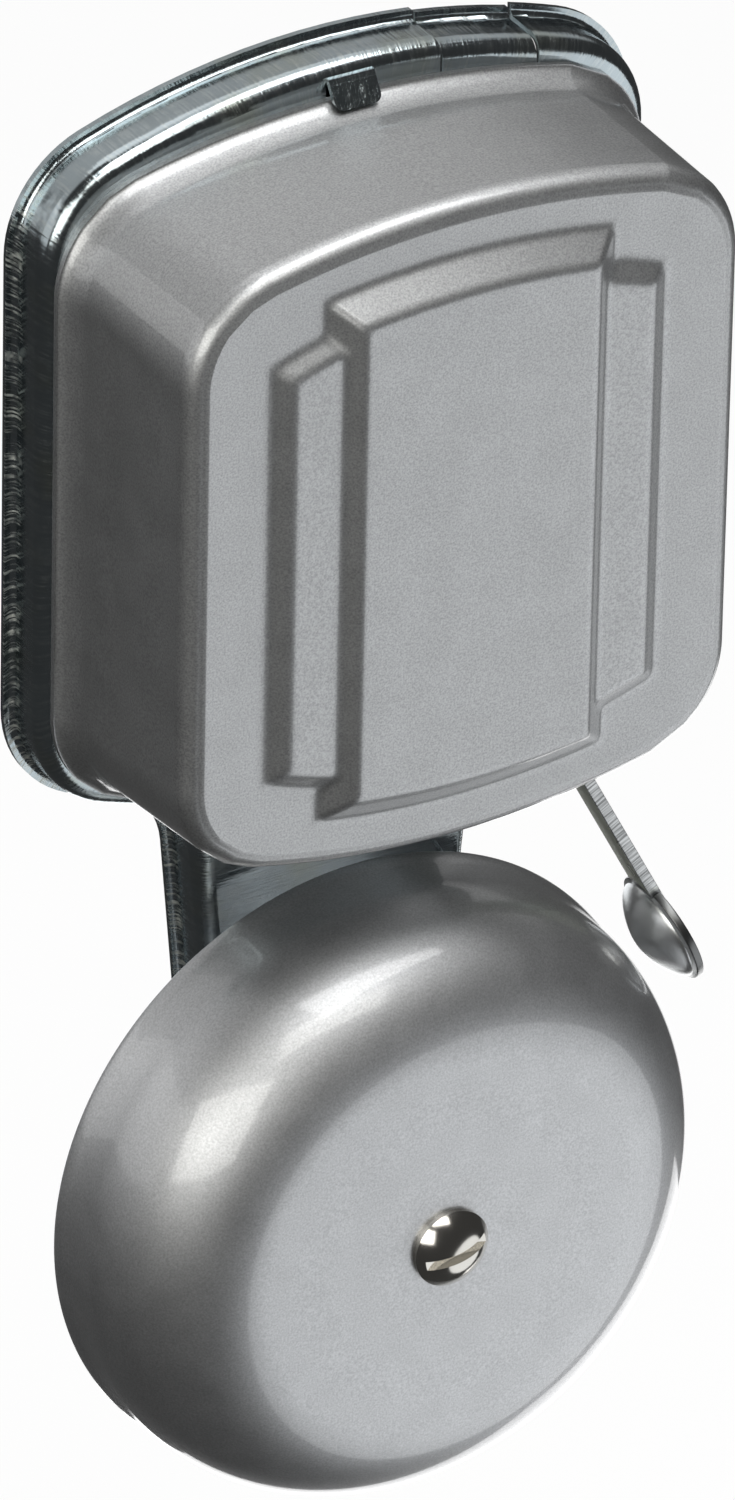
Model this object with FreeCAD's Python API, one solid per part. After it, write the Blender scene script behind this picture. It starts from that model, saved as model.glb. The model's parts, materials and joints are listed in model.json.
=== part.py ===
"""Wired trembler bell: stamped base pan, drawn cover, gong, and the magnet movement with its hammer.

Frame: the wall is the plane Y = 0, the bell stands out towards -Y and +Z is up. The origin lies on
the wall, midway between the two mounting holes. "Depth" below means distance ahead of the wall.
"""
import FreeCAD, Part
import math
import os

V = FreeCAD.Vector
X_AXIS = V(1, 0, 0)
OUT = V(0, -1, 0)

# ---------------------------------------------------------------- driving dimensions, millimetres
# Base pan: crowned body with a tapering neck that carries the gong
base_sheet = 0.6
base_depth = 5.7
base_side_margin = 1.95
base_top_margin = 4.1
base_top_radius = 74.0
base_bottom_margin = 3.3
base_bottom_radius = 74.0
base_corner_radius = 11.5
flange_width = 1.0
neck_flange_width = 0.75
flange_bend_radius = 0.6
bead_radius = 1.7
neck_end_radius = 12.4
neck_taper = 5.3
neck_fillet_radius = 7.5
neck_pad_depth = 1.0
neck_pad_margin = 0.2
neck_pad_top = 44.6
neck_pad_corner = 6.0

# Mounting holes in dimples that reach back to the wall
mount_under = 5.3
mount_hole_radius = 2.2
dimple_radius = 5.0
dimple_draft = 0.8

# Hook tab at the top edge, and the break-out tongue for surface wiring
hook_middle = -0.3
hook_width = 4.8
hook_reach = 1.6
hook_rise = 0.3
hook_stand = 0.4
hook_clearance = 1.45
hook_overlap = 0.6
hook_end_bevel = 0.45
hook_corner_radius = 0.8
hook_window = 3.2
tongue_left = 9.4
tongue_right = 19.6
tongue_slit = 0.3
tongue_drop = 0.3
tongue_under = 3.5
side_lug_length = 7.0
side_lug_height = 3.6
side_lug_middle = 8.0

# Cover
cover_sheet = 0.6
cover_depth = 20.9
cover_half_width = 28.8
cover_half_height = 32.95
cover_crown_radius = 90.0
cover_corner_radius = 10.6
cover_back_corner_radius = 9.4
cover_draft = 0.5
cover_edge_radius = 1.95
cover_face_rise = 0.25
cover_lip_drop = 0.3
lip_width = 1.35
lip_bend_radius = 1.1
panel_half_width = 15.17
panel_corner = 26.8
panel_radius = 86.0
panel_height = 2.6
panel_bevel = 3.0
wing_half_width = 20.76
wing_corner = 21.5
wing_radius = 56.0
wing_height = 1.4
wing_bevel = 2.1
notch_before = 3.2
notch_after = 5.0
notch_depth = 11.0

# Gong, its standoff and screw
gong_drop = 76.0
gong_radius = 31.75
gong_rim_depth = 8.93
gong_height = 18.1
gong_sheet = 1.1
gong_shoulder_radius = 12.7
gong_crown_radius = 540.0
gong_taper = 1.1
gong_lip_width = 0.3
gong_lip_height = 2.2
gong_hole_radius = 2.3
post_radius = 4.5
post_shank_radius = 2.8
post_head_radius = 4.2
post_head_height = 1.0
gong_washer_radius = 6.0
gong_washer_sheet = 0.8
gong_screw_radius = 2.0
gong_screw_length = 12.0
gong_screw_head_radius = 3.9
gong_screw_head_height = 2.3
gong_screw_head_edge = 0.5
gong_screw_slot = 1.0
gong_screw_slot_angle = 12.0

# Electromagnet: two horizontal spools on an L-shaped iron frame
frame_sheet = 2.4
frame_width = 11.0
frame_grommet_gap = 0.9
frame_corner_radius = 3.2
frame_lug_length = 6.0
coil_front_gap = 1.2
coil_back_gap = 1.3
coil_terminal_overlap = 0.2
coil_dimple_gap = 2.6
coil_gap = 2.2
coil_flange_sheet = 1.0
coil_barrel_radius = 5.0
winding_margin = 0.6
core_radius = 4.0
core_protrusion = 1.0
core_tenon_radius = 2.6
core_head_radius = 3.6
core_head_height = 0.9
frame_gap = 1.6

# Armature, hinge spring and hammer
air_gap = 0.8
armature_sheet = 2.5
armature_overlap = 3.0
armature_top_gap = 1.4
hinge_spring_sheet = 0.25
hinge_spring_width = 8.0
hinge_spring_foot = 12.0
hinge_spring_leg = 13.5
hinge_spring_bend = 1.2
rivet_radius = 1.1
rivet_head_radius = 1.9
rivet_head_height = 0.7
strike_gap = 1.36
striker_height = 17.9
striker_ahead = 4.02
striker_angle = 22.6
striker_disc_radius = 5.7
striker_bowl_radius = 4.9
striker_bowl_height = 2.6
striker_bowl_sheet = 0.6
arm_sheet = 1.15
arm_width = 3.7
arm_angle = 28.2
arm_root = 1.0
arm_rivet_edge = 2.6
arm_rivet_pitch = 5.5

# Contact breaker
contact_offset = 2.5
contact_height = -6.4
contact_spring_sheet = 0.25
contact_spring_width = 4.0
contact_spring_free = 1.9
contact_spring_tail = 3.0
contact_radius = 1.3
contact_thickness = 0.8
contact_gap = 0.05
contact_reach = 4.7
bracket_wall_gap = 0.4
bracket_sheet = 1.6
bracket_width = 8.0
bracket_foot = 6.4
bracket_crest = 3.4
insulator_sheet = 1.2
insulator_margin = 1.2
contact_screw_radius = 1.4
contact_screw_tail = 3.0
contact_screw_head_radius = 2.6
contact_screw_head_height = 1.6
contact_screw_slot = 0.7
lock_nut_width = 5.0
lock_nut_height = 1.8

# Terminals and wiring
terminal_side_gap = 4.2
terminal_plate_length = 17.4
terminal_bottom_gap = 5.15
terminal_plate_width = 7.2
terminal_plate_sheet = 1.6
terminal_spacing = 9.6
terminal_tab_sheet = 0.6
terminal_tab_width = 5.6
terminal_tab_tail = 2.4
terminal_washer_radius = 2.9
terminal_washer_sheet = 0.6
terminal_screw_radius = 1.5
terminal_screw_length = 3.4
terminal_head_radius = 2.7
terminal_head_height = 1.7
terminal_slot = 0.8
grommet_wall_gap = 0.1
grommet_z = -13.0
grommet_hole_radius = 2.0
grommet_neck_radius = 3.0
grommet_flange_radius = 3.9
grommet_flange = 0.9
lead_radius = 0.45
lead_gap = 0.03
lead_climb = 4.4

# Clearances
sliding_clearance = 0.05
seat_clearance = 0.1
free_clearance = 0.25

# ---------------------------------------------------------------- values worked out from them
base_face = base_depth
cover_seat = base_face
lip_half_width = cover_half_width + cover_draft + lip_width
lip_top = cover_half_height + cover_draft + lip_width - cover_lip_drop
lip_bottom = cover_half_height + cover_draft + lip_width + cover_lip_drop
base_half_width = lip_half_width + base_side_margin
base_top = lip_top + base_top_margin
base_bottom = lip_bottom + base_bottom_margin
hook_root = lip_top + hook_reach
tongue_root = lip_top - tongue_under
cover_inside = cover_half_width - cover_sheet
mount_spacing = 2 * (lip_top - mount_under)
terminal_plate_left = terminal_side_gap - cover_inside
terminal_plate_bottom = terminal_bottom_gap - cover_half_height
cover_face = cover_seat + cover_depth
pad_floor = base_face - neck_pad_depth
gong_z = -gong_drop
gong_crown = gong_rim_depth + gong_height
coil_room = cover_face - cover_sheet - base_face - coil_front_gap - coil_back_gap
coil_depth = base_face + coil_back_gap + coil_room / 2
coil_bottom = terminal_plate_bottom + terminal_plate_width - coil_terminal_overlap
frame_limit = mount_spacing / 2 - dimple_radius - base_sheet - coil_dimple_gap
coil_stack = frame_limit - frame_sheet - frame_gap - coil_gap - coil_bottom
coil_flange_radius = min(coil_room / 2, coil_stack / 4)
coil_spacing = 2 * coil_flange_radius + coil_gap
coil_middle = coil_bottom + coil_flange_radius + coil_spacing / 2
winding_radius = coil_flange_radius - winding_margin
contact_depth = coil_depth + contact_offset
coil_heights = (coil_middle + coil_spacing / 2, coil_middle - coil_spacing / 2)
grommet_x = grommet_wall_gap + grommet_flange_radius - cover_inside
frame_left = grommet_x + grommet_flange_radius + frame_grommet_gap
frame_inner = frame_left + frame_sheet
bracket_right = cover_inside - bracket_wall_gap - insulator_margin
bracket_left = bracket_right - bracket_foot - bracket_sheet
contact_stack = hinge_spring_sheet + contact_spring_free + contact_spring_sheet + contact_thickness
pole_room = core_protrusion + air_gap + armature_sheet
coil_end = bracket_left - contact_reach - contact_stack - pole_room
coil_centre = (frame_inner + coil_end) / 2
pole_face = coil_end + core_protrusion
armature_left = pole_face + air_gap
armature_right = armature_left + armature_sheet
frame_top = coil_heights[0] + coil_flange_radius + frame_gap + frame_sheet
frame_back = coil_depth - frame_width / 2
frame_front = coil_depth + frame_width / 2
armature_top = frame_top - armature_top_gap
armature_bottom = coil_heights[1] - core_radius - armature_overlap
frame_right = armature_left - free_clearance
arm_lean = math.radians(arm_angle)
arm_toward_gong = V(-math.cos(arm_lean), 0, -math.sin(arm_lean))
striker_lean = math.radians(striker_angle)
striker_down = V(math.sin(striker_lean), 0, -math.cos(striker_lean))
striker_toward_gong = V(-math.cos(striker_lean), 0, -math.sin(striker_lean))
striker_reach = gong_radius + strike_gap + striker_bowl_height + arm_sheet / 2
striker_x = math.sqrt(striker_reach ** 2 - striker_height ** 2)
striker_depth = gong_rim_depth + striker_ahead
striker = V(striker_x, -striker_depth, gong_z + striker_height)
arm_end = striker - striker_down * (striker_disc_radius - arm_root)
arm_middle_x = armature_right + arm_sheet / 2
arm_bend_z = arm_end.z + (arm_end.x - arm_middle_x) / math.tan(arm_lean)
arm_seat_z = max(arm_bend_z, armature_bottom)
notch_middle = arm_end.x - (arm_end.z + cover_half_height) * -math.tan(arm_lean)
insulator_face = base_face + insulator_sheet
terminal_plate_face = base_face + terminal_plate_sheet
terminal_z = terminal_plate_bottom + terminal_plate_width / 2
terminal_middle = terminal_plate_left + terminal_plate_length / 2
terminal_xs = (terminal_middle - terminal_spacing / 2, terminal_middle + terminal_spacing / 2)


# ---------------------------------------------------------------- building helpers
def point(x, z, depth):
    return V(x, -depth, z)


def line(start, end):
    return Part.LineSegment(start, end).toShape()


def arc(start, middle, end):
    return Part.Arc(start, middle, end).toShape()


def prism(wire, depth):
    """Solid from a wire in an XZ plane, drawn out by depth towards the front."""
    return Part.Face(wire).extrude(V(0, -depth, 0))


def box(x0, x1, depth0, depth1, z0, z1):
    return Part.makeBox(x1 - x0, depth1 - depth0, z1 - z0, V(x0, -depth1, z0))


def rod(radius, start, end):
    """Cylinder between two points on its axis."""
    along = end.sub(start)
    return Part.makeCylinder(radius, along.Length, start, along)


def tube(outer, inner, start, end):
    return rod(outer, start, end).cut(rod(inner, start, end))


def fuse(shapes):
    joined = shapes[0]
    for shape in shapes[1:]:
        joined = joined.fuse(shape)
    return joined.removeSplitter()


def edges_at_depth(shape, depth):
    """Edges that lie whole in the plane at that depth."""
    found = []
    for edge in shape.Edges:
        bounds = edge.BoundBox
        if abs(bounds.YMin + depth) < 1e-4 and abs(bounds.YMax + depth) < 1e-4:
            found.append(edge)
    return found


def export(name, shape):
    shape.exportStep("parts/" + name + ".step")


# ---------------------------------------------------------------- outlines
def crowned_quarter(half_width, crown, crown_radius, corner_radius):
    """Points of one corner: on the side, in the middle of the corner arc, and on the crown arc."""
    corner_x = half_width - corner_radius
    reach = crown_radius - corner_radius
    crown_centre = crown - crown_radius
    corner_z = crown_centre + math.sqrt(reach ** 2 - corner_x ** 2)
    grow = crown_radius / reach
    end_x = corner_x * grow
    end_z = crown_centre + (corner_z - crown_centre) * grow
    half_turn = math.atan2(end_z - corner_z, end_x - corner_x) / 2
    middle_x = corner_x + corner_radius * math.cos(half_turn)
    middle_z = corner_z + corner_radius * math.sin(half_turn)
    return (half_width, corner_z), (middle_x, middle_z), (end_x, end_z)


def cover_outline(grow, corner_radius, centre, depth):
    """Crowned outline of the cover, grown outwards by grow, with its middle at height centre."""
    corner = crowned_quarter(cover_half_width + grow, cover_half_height + grow,
                             cover_crown_radius + grow, corner_radius)
    crown = cover_half_height + grow

    def quarter(sign_x, sign_z):
        return [point(sign_x * x, centre + sign_z * z, depth) for x, z in corner]

    rs, rm, re = quarter(1, 1)
    ls, lm, le = quarter(-1, 1)
    brs, brm, bre = quarter(1, -1)
    bls, blm, ble = quarter(-1, -1)
    return Part.Wire([arc(le, point(0, centre + crown, depth), re), arc(re, rm, rs),
                      line(rs, brs), arc(brs, brm, bre),
                      arc(bre, point(0, centre - crown, depth), ble), arc(ble, blm, bls),
                      line(bls, ls), arc(ls, lm, le)])


def wall_outline(shrink, depth):
    """Outline of the cover's drafted wall at that depth, moved inwards by shrink."""
    share = (depth - cover_seat) / cover_depth
    corner = cover_corner_radius * share + cover_back_corner_radius * (1 - share)
    centre = cover_face_rise * share - cover_lip_drop * (1 - share)
    return cover_outline(cover_draft * (1 - share) - shrink, corner - shrink, centre, depth)


def neck_side(inset):
    """Normal of the neck's right side, and the side's distance from the gong's axis."""
    lean = math.radians(neck_taper)
    return V(math.cos(lean), 0, -math.sin(lean)), neck_end_radius - inset


def neck_fillet(carrier, radius, neck_inset, fillet):
    """Fillet between a circle of the pan's outline and the neck's side.

    Returns its end on the circle, its middle and its end on the neck."""
    normal, reach = neck_side(neck_inset)
    along = V(-normal.z, 0, normal.x)
    start = V(0, 0, gong_z) + normal * (reach + fillet)
    apart = start - carrier
    half = apart.dot(along)
    slide = -half - math.sqrt(half ** 2 - apart.dot(apart) + (radius + fillet) ** 2)
    centre = start + along * slide
    outward = centre - carrier
    outward.normalize()
    on_circle = carrier + outward * radius
    on_neck = centre - normal * fillet
    bisector = on_circle + on_neck - centre * 2
    bisector.normalize()
    return on_circle, centre + bisector * fillet, on_neck


def base_outline(inset, neck_inset, depth):
    """Outline of the pan moved inwards by inset, with its neck moved inwards by neck_inset."""
    upper = crowned_quarter(base_half_width - inset, base_top - inset,
                            base_top_radius - inset, base_corner_radius - inset)
    lower = crowned_quarter(base_half_width - inset, base_bottom - inset,
                            base_bottom_radius - inset, base_corner_radius - inset)
    fillet = neck_fillet_radius + inset
    crown_centre = V(0, 0, -base_bottom + base_bottom_radius)
    carrier, radius = crown_centre, base_bottom_radius - inset
    on_bottom, fillet_middle, on_neck = neck_fillet(carrier, radius, neck_inset, fillet)
    meets_corner = on_bottom.x > lower[2][0]
    if meets_corner:
        radius = base_corner_radius - inset
        carrier = V(lower[0][0] - radius, 0, -lower[0][1])
        on_bottom, fillet_middle, on_neck = neck_fillet(carrier, radius, neck_inset, fillet)
    normal, reach = neck_side(neck_inset)
    neck_end = V(0, 0, gong_z) + normal * reach

    def side(sign):
        """Edges from the crown's end down to the neck's end, on one side."""
        def at(x, z):
            return point(sign * x, z, depth)

        def on(vector):
            return at(vector.x, vector.z)

        side_top = at(*upper[0])
        side_end = at(lower[0][0], -lower[0][1])
        edges = [arc(at(*upper[2]), at(*upper[1]), side_top), line(side_top, side_end)]
        if meets_corner:
            turn = math.atan2(on_bottom.z - carrier.z, on_bottom.x - carrier.x) / 2
            middle = carrier + V(math.cos(turn), 0, math.sin(turn)) * radius
            edges.append(arc(side_end, on(middle), on(on_bottom)))
        else:
            corner_end = at(lower[2][0], -lower[2][1])
            middle_x = (lower[2][0] + on_bottom.x) / 2
            middle_z = carrier.z - math.sqrt(radius ** 2 - middle_x ** 2)
            edges.append(arc(side_end, at(lower[1][0], -lower[1][1]), corner_end))
            edges.append(arc(corner_end, at(middle_x, middle_z), on(on_bottom)))
        return edges + [arc(on(on_bottom), on(fillet_middle), on(on_neck)),
                        line(on(on_neck), on(neck_end))]

    crown = arc(point(-upper[2][0], upper[2][1], depth), point(0, base_top - inset, depth),
                point(upper[2][0], upper[2][1], depth))
    tip = arc(point(neck_end.x, neck_end.z, depth), point(0, gong_z - reach, depth),
              point(-neck_end.x, neck_end.z, depth))
    return Part.Wire(Part.__sortEdges__([crown, tip] + side(1) + side(-1)))


def neck_pad_outline(inset, depth):
    """Outline of the sunk pad in the neck: the neck's own sides under a straight top edge."""
    normal, reach = neck_side(neck_flange_width + bead_radius + neck_pad_margin + inset)
    corner = neck_pad_corner - inset
    top = -neck_pad_top - inset
    centre_z = top - corner
    centre_x = (reach - corner - (centre_z - gong_z) * normal.z) / normal.x
    centre = V(centre_x, 0, centre_z)
    on_side = centre + normal * corner
    middle = normal + V(0, 0, 1)
    middle.normalize()
    corner_middle = centre + middle * corner
    end = V(0, 0, gong_z) + normal * reach
    points = {}
    for sign in (1, -1):
        points[sign] = [point(sign * p.x, p.z, depth) for p in (corner_middle, on_side, end)]
    return Part.Wire([line(point(-centre_x, top, depth), point(centre_x, top, depth)),
                      arc(point(centre_x, top, depth), points[1][0], points[1][1]),
                      line(points[1][1], points[1][2]),
                      arc(points[1][2], point(0, gong_z - reach, depth), points[-1][2]),
                      line(points[-1][2], points[-1][1]),
                      arc(points[-1][1], points[-1][0], point(-centre_x, top, depth))])


def panel_outline(half_width, corner, radius, inset, depth):
    """Four-sided panel with straight sides and crowned top and bottom edges."""
    centre = corner - math.sqrt(radius ** 2 - half_width ** 2)
    x = half_width - inset
    z = centre + math.sqrt((radius - inset) ** 2 - x ** 2)
    crown = centre + radius - inset
    return Part.Wire([arc(point(-x, z, depth), point(0, crown, depth), point(x, z, depth)),
                      line(point(x, z, depth), point(x, -z, depth)),
                      arc(point(x, -z, depth), point(0, -crown, depth), point(-x, -z, depth)),
                      line(point(-x, -z, depth), point(-x, z, depth))])


# ---------------------------------------------------------------- base pan
def pan_shell():
    """Drawn pan: back flange, wall, rounded front bead and flat face, all of one sheet."""
    flange = prism(base_outline(0, 0, 0), base_sheet)
    body = prism(base_outline(flange_width, neck_flange_width, 0), base_depth)
    body = body.makeFillet(bead_radius, edges_at_depth(body, base_depth))
    outer = flange.fuse(body).removeSplitter()
    bend = []
    for edge in edges_at_depth(outer, base_sheet):
        if edge.distToShape(base_outline(0, 0, base_sheet))[0] > neck_flange_width / 2:
            bend.append(edge)
    outer = outer.makeFillet(flange_bend_radius, bend)
    hollow = prism(base_outline(flange_width + base_sheet, neck_flange_width + base_sheet, 0),
                   base_depth - base_sheet)
    hollow = hollow.makeFillet(bead_radius - base_sheet,
                               edges_at_depth(hollow, base_depth - base_sheet))
    return outer.cut(hollow).removeSplitter()


def sink_neck_pad(pan):
    lining = prism(neck_pad_outline(-base_sheet, pad_floor - base_sheet), neck_pad_depth)
    pocket = prism(neck_pad_outline(0, pad_floor), neck_pad_depth + free_clearance)
    return pan.fuse(lining).cut(pocket)


def press_dimple(pan, z):
    """Round dimple whose floor lies on the wall, with the mounting hole in it."""
    lining = Part.makeCone(dimple_radius - dimple_draft + base_sheet, dimple_radius + base_sheet,
                           base_depth - base_sheet / 2, V(0, 0, z), OUT)
    pocket = Part.makeCone(dimple_radius - dimple_draft, dimple_radius,
                           base_depth - base_sheet, V(0, -base_sheet, z), OUT)
    hole = rod(mount_hole_radius, V(0, 1, z), V(0, -base_depth, z))
    return pan.fuse(lining).cut(pocket).cut(hole)


def hook_tab():
    """Tab lanced from the face: a bend above its window, then a leaf down over the cover's lip."""
    tip = lip_top - hook_overlap
    inner_end = tip + hook_end_bevel
    bend = hook_root + hook_rise
    front = base_face + hook_stand
    end = cover_seat + cover_sheet + hook_clearance
    slope = (end - front) / (bend - tip)
    buried = base_face - base_sheet * 0.8
    corners = [(buried, hook_root),
               (front + slope * (bend - hook_root) - base_sheet, hook_root),
               (front + slope * (bend - inner_end) - base_sheet, inner_end),
               (end, tip), (front, bend), (buried, bend)]
    points = [point(hook_middle - hook_width / 2, z, depth) for depth, z in corners]
    tab = Part.Face(Part.makePolygon(points + points[:1])).extrude(V(hook_width, 0, 0))
    left, right = hook_middle - hook_width / 2, hook_middle + hook_width / 2
    round_z = tip + hook_corner_radius
    outline = box(left, right, 0, end + 1, round_z, bend + 1)
    outline = outline.fuse(box(left + hook_corner_radius, right - hook_corner_radius,
                               0, end + 1, tip - 1, round_z))
    for x in (left + hook_corner_radius, right - hook_corner_radius):
        outline = outline.fuse(rod(hook_corner_radius, V(x, 0, round_z), V(x, -end - 1, round_z)))
    return tab.common(outline)


def hook_opening():
    """Window that the tab's own metal leaves in the face."""
    return box(hook_middle - hook_width / 2, hook_middle + hook_width / 2, 1, base_face + 1,
               hook_root - hook_window, hook_root)


def cut_tongue(pan):
    """Break-out tongue: two slits across the top wall, with the tongue between set a little low."""
    ahead = base_depth + 1
    top = base_top + 1
    slot = box(tongue_left - tongue_slit / 2, tongue_right + tongue_slit / 2, -1, ahead,
               tongue_root, top)
    strip = box(tongue_left + tongue_slit / 2, tongue_right - tongue_slit / 2, -1, ahead,
                tongue_root, top)
    tongue = pan.common(strip)
    tongue.translate(V(0, 0, -tongue_drop))
    return pan.cut(slot).fuse(tongue)


def side_lugs():
    """Two lugs raised from the face, which guide the cover's side walls."""
    outside = cover_half_width - cover_sheet - free_clearance
    lugs = []
    for left in (-outside, outside - base_sheet):
        lugs.append(box(left, left + base_sheet, base_face - base_sheet,
                        base_face + side_lug_height, side_lug_middle - side_lug_length / 2,
                        side_lug_middle + side_lug_length / 2))
    return lugs


def frame_lug_places():
    """Centres of the frame's staked lugs: two up the leg, one along the arm."""
    leg_x = frame_left + frame_sheet / 2
    return [(leg_x, coil_heights[0]), (leg_x, coil_heights[1]),
            (coil_end - frame_lug_length, frame_top - frame_sheet / 2)]


def lug_box(x, z, depth0, depth1, clearance):
    """Block of a frame lug, upright on the leg and lying along the arm."""
    on_leg = x < frame_inner
    half_x = (frame_sheet if on_leg else frame_lug_length) / 2 + clearance
    half_z = (frame_lug_length if on_leg else frame_sheet) / 2 + clearance
    return box(x - half_x, x + half_x, depth0, depth1, z - half_z, z + half_z)


def base_plate():
    pan = sink_neck_pad(pan_shell())
    for z in (mount_spacing / 2, -mount_spacing / 2):
        pan = press_dimple(pan, z)
    pan = cut_tongue(pan)
    pan = pan.cut(rod(post_shank_radius, V(0, 0, gong_z), V(0, -base_depth, gong_z)))
    pan = pan.cut(rod(grommet_neck_radius, V(grommet_x, 0, grommet_z),
                      V(grommet_x, -base_depth - 1, grommet_z)))
    for x, z in frame_lug_places():
        pan = pan.cut(lug_box(x, z, 0, base_depth + 1, sliding_clearance))
    pan = pan.cut(rod(rivet_radius + free_clearance, bracket_rivet_at(0),
                      bracket_rivet_at(base_depth + 1)))
    for x in terminal_rivet_xs():
        pan = pan.cut(rod(rivet_radius, V(x, 0, terminal_z), V(x, -base_depth - 1, terminal_z)))
    pan = pan.cut(hook_opening())
    for lug in side_lugs():
        pan = pan.fuse(lug)
    return pan.fuse(hook_tab()).removeSplitter()


# ---------------------------------------------------------------- cover
def cover_form(shrink):
    """Form of the cover without its lip: the outside, or with shrink the inside."""
    face = cover_face - shrink
    wall = Part.makeLoft([wall_outline(shrink, cover_seat - shrink), wall_outline(shrink, face)],
                         True, True)
    wall = wall.makeFillet(cover_edge_radius - shrink, edges_at_depth(wall, face))
    wing = relief(wing_half_width, wing_corner, wing_radius, wing_height, wing_bevel, shrink)
    panel = relief(panel_half_width, panel_corner, panel_radius, panel_height, panel_bevel, shrink)
    return wall.fuse(wing).fuse(panel).removeSplitter()


def cover_lip(form):
    """The form with its flat lip turned outwards, and the bend between lip and wall."""
    rim = cover_outline(cover_draft + lip_width, cover_back_corner_radius + lip_width,
                        -cover_lip_drop, cover_seat)
    flanged = form.fuse(prism(rim, cover_sheet)).removeSplitter()
    bend = []
    for edge in edges_at_depth(flanged, cover_seat + cover_sheet):
        if edge.distToShape(rim)[0] > lip_width / 2 + cover_sheet:
            bend.append(edge)
    return flanged.makeFillet(lip_bend_radius, bend)


def relief(half_width, corner, radius, height, bevel, shrink):
    """Raised panel with sloping sides; shrink moves it back and draws its sides in."""
    slope_shrink = shrink * height / bevel
    foot = panel_outline(half_width, corner, radius, slope_shrink, cover_face - shrink)
    rim = panel_outline(half_width, corner, radius, bevel + slope_shrink,
                        cover_face + height - shrink)
    raised = Part.makeLoft([foot, rim], True, True)
    raised.translate(V(0, 0, cover_face_rise))
    return raised


def cover():
    notch = box(notch_middle - notch_before, notch_middle + notch_after, cover_seat - 1,
                cover_seat + notch_depth, -lip_bottom - 1, -cover_half_height + 6)
    return cover_lip(cover_form(0)).cut(cover_form(cover_sheet)).cut(notch)


# ---------------------------------------------------------------- gong
def gong_profile(shrink):
    """Points of the gong's meridian from the skirt to the axis; height is ahead of the rim."""
    lean = math.radians(gong_taper)
    normal = V(math.cos(lean), math.sin(lean), 0)
    skirt = V(gong_radius - gong_lip_width, gong_lip_height, 0)
    reach = skirt.dot(normal) - gong_shoulder_radius
    crown_centre = V(0, gong_height - gong_crown_radius, 0)
    along = V(-normal.y, normal.x, 0)
    start = normal * reach - crown_centre
    half = start.dot(along)
    span = gong_crown_radius - gong_shoulder_radius
    slide = -half + math.sqrt(half ** 2 - start.dot(start) + span ** 2)
    shoulder = normal * reach + along * slide
    to_shoulder = shoulder - crown_centre
    to_shoulder.normalize()
    radius = gong_shoulder_radius - shrink
    turn = (math.atan2(normal.y, normal.x) + math.atan2(to_shoulder.y, to_shoulder.x)) / 2
    return {"skirt": skirt - normal * shrink,
            "shoulder_start": shoulder + normal * radius,
            "shoulder_middle": shoulder + V(math.cos(turn), math.sin(turn), 0) * radius,
            "shoulder_end": shoulder + to_shoulder * radius,
            "crown_centre": crown_centre,
            "crown_radius": gong_crown_radius - shrink}


def meridian(radius, height):
    return V(radius, -gong_rim_depth - height, gong_z)


def crown_arc(profile, end_radius):
    """Crown arc from the shoulder's end in to end_radius, and the point where it ends."""
    centre = profile["crown_centre"]
    radius = profile["crown_radius"]
    start = profile["shoulder_end"]

    def height(r):
        return centre.y + math.sqrt(radius ** 2 - r ** 2)

    middle = (start.x + end_radius) / 2
    end = meridian(end_radius, height(end_radius))
    return arc(meridian(start.x, start.y), meridian(middle, height(middle)), end), end


def gong():
    outer = gong_profile(0)
    inner = gong_profile(gong_sheet)
    rim_inner = gong_radius - gong_sheet
    edges = [line(meridian(rim_inner, 0), meridian(gong_radius, 0)),
             line(meridian(gong_radius, 0), meridian(gong_radius, gong_sheet / 2)),
             line(meridian(gong_radius, gong_sheet / 2),
                  meridian(outer["skirt"].x, outer["skirt"].y))]
    for profile in (outer, inner):
        start = meridian(profile["skirt"].x, profile["skirt"].y)
        shoulder = meridian(profile["shoulder_start"].x, profile["shoulder_start"].y)
        turn = meridian(profile["shoulder_middle"].x, profile["shoulder_middle"].y)
        end = meridian(profile["shoulder_end"].x, profile["shoulder_end"].y)
        edges += [line(start, shoulder), arc(shoulder, turn, end)]
    outer_crown, outer_end = crown_arc(outer, gong_hole_radius)
    inner_crown, inner_end = crown_arc(inner, gong_hole_radius)
    edges += [outer_crown, inner_crown, line(outer_end, inner_end),
              line(meridian(inner["skirt"].x, inner["skirt"].y), meridian(rim_inner, 0))]
    wire = Part.Wire(Part.__sortEdges__(edges))
    return Part.Face(wire).revolve(V(0, 0, gong_z), V(0, 1, 0), 360)


def gong_stack():
    """Depths of the stack under the screw: post end, washer end, gong's outside."""
    inside = gong_crown_radius - gong_sheet
    hollow = inside - math.sqrt(inside ** 2 - gong_washer_radius ** 2)
    washer_end = gong_crown - gong_sheet - hollow
    return washer_end - gong_washer_sheet, washer_end, gong_crown


def gong_post():
    post_end, _, _ = gong_stack()
    shaft = rod(post_radius, V(0, -pad_floor, gong_z), V(0, -post_end, gong_z))
    back = pad_floor - base_sheet
    shank = rod(post_shank_radius, V(0, -back, gong_z), V(0, -pad_floor, gong_z))
    head = rod(post_head_radius, V(0, -back + post_head_height, gong_z), V(0, -back, gong_z))
    tapped = rod(gong_screw_radius + sliding_clearance,
                 V(0, -post_end + gong_screw_length, gong_z), V(0, -post_end, gong_z))
    return fuse([shaft, shank, head]).cut(tapped)


def gong_washer():
    post_end, washer_end, _ = gong_stack()
    return tube(gong_washer_radius, gong_hole_radius, V(0, -post_end, gong_z),
                V(0, -washer_end, gong_z))


def domed_head(radius, height, edge, seat, axis):
    """Screw head: a short cylinder under a spherical dome."""
    dome = height - edge
    sphere_radius = (radius ** 2 + dome ** 2) / (2 * dome)
    centre = seat + axis * (height - sphere_radius)
    blank = Part.makeCylinder(radius, height, seat, axis)
    return blank.common(Part.makeSphere(sphere_radius, centre))


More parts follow.
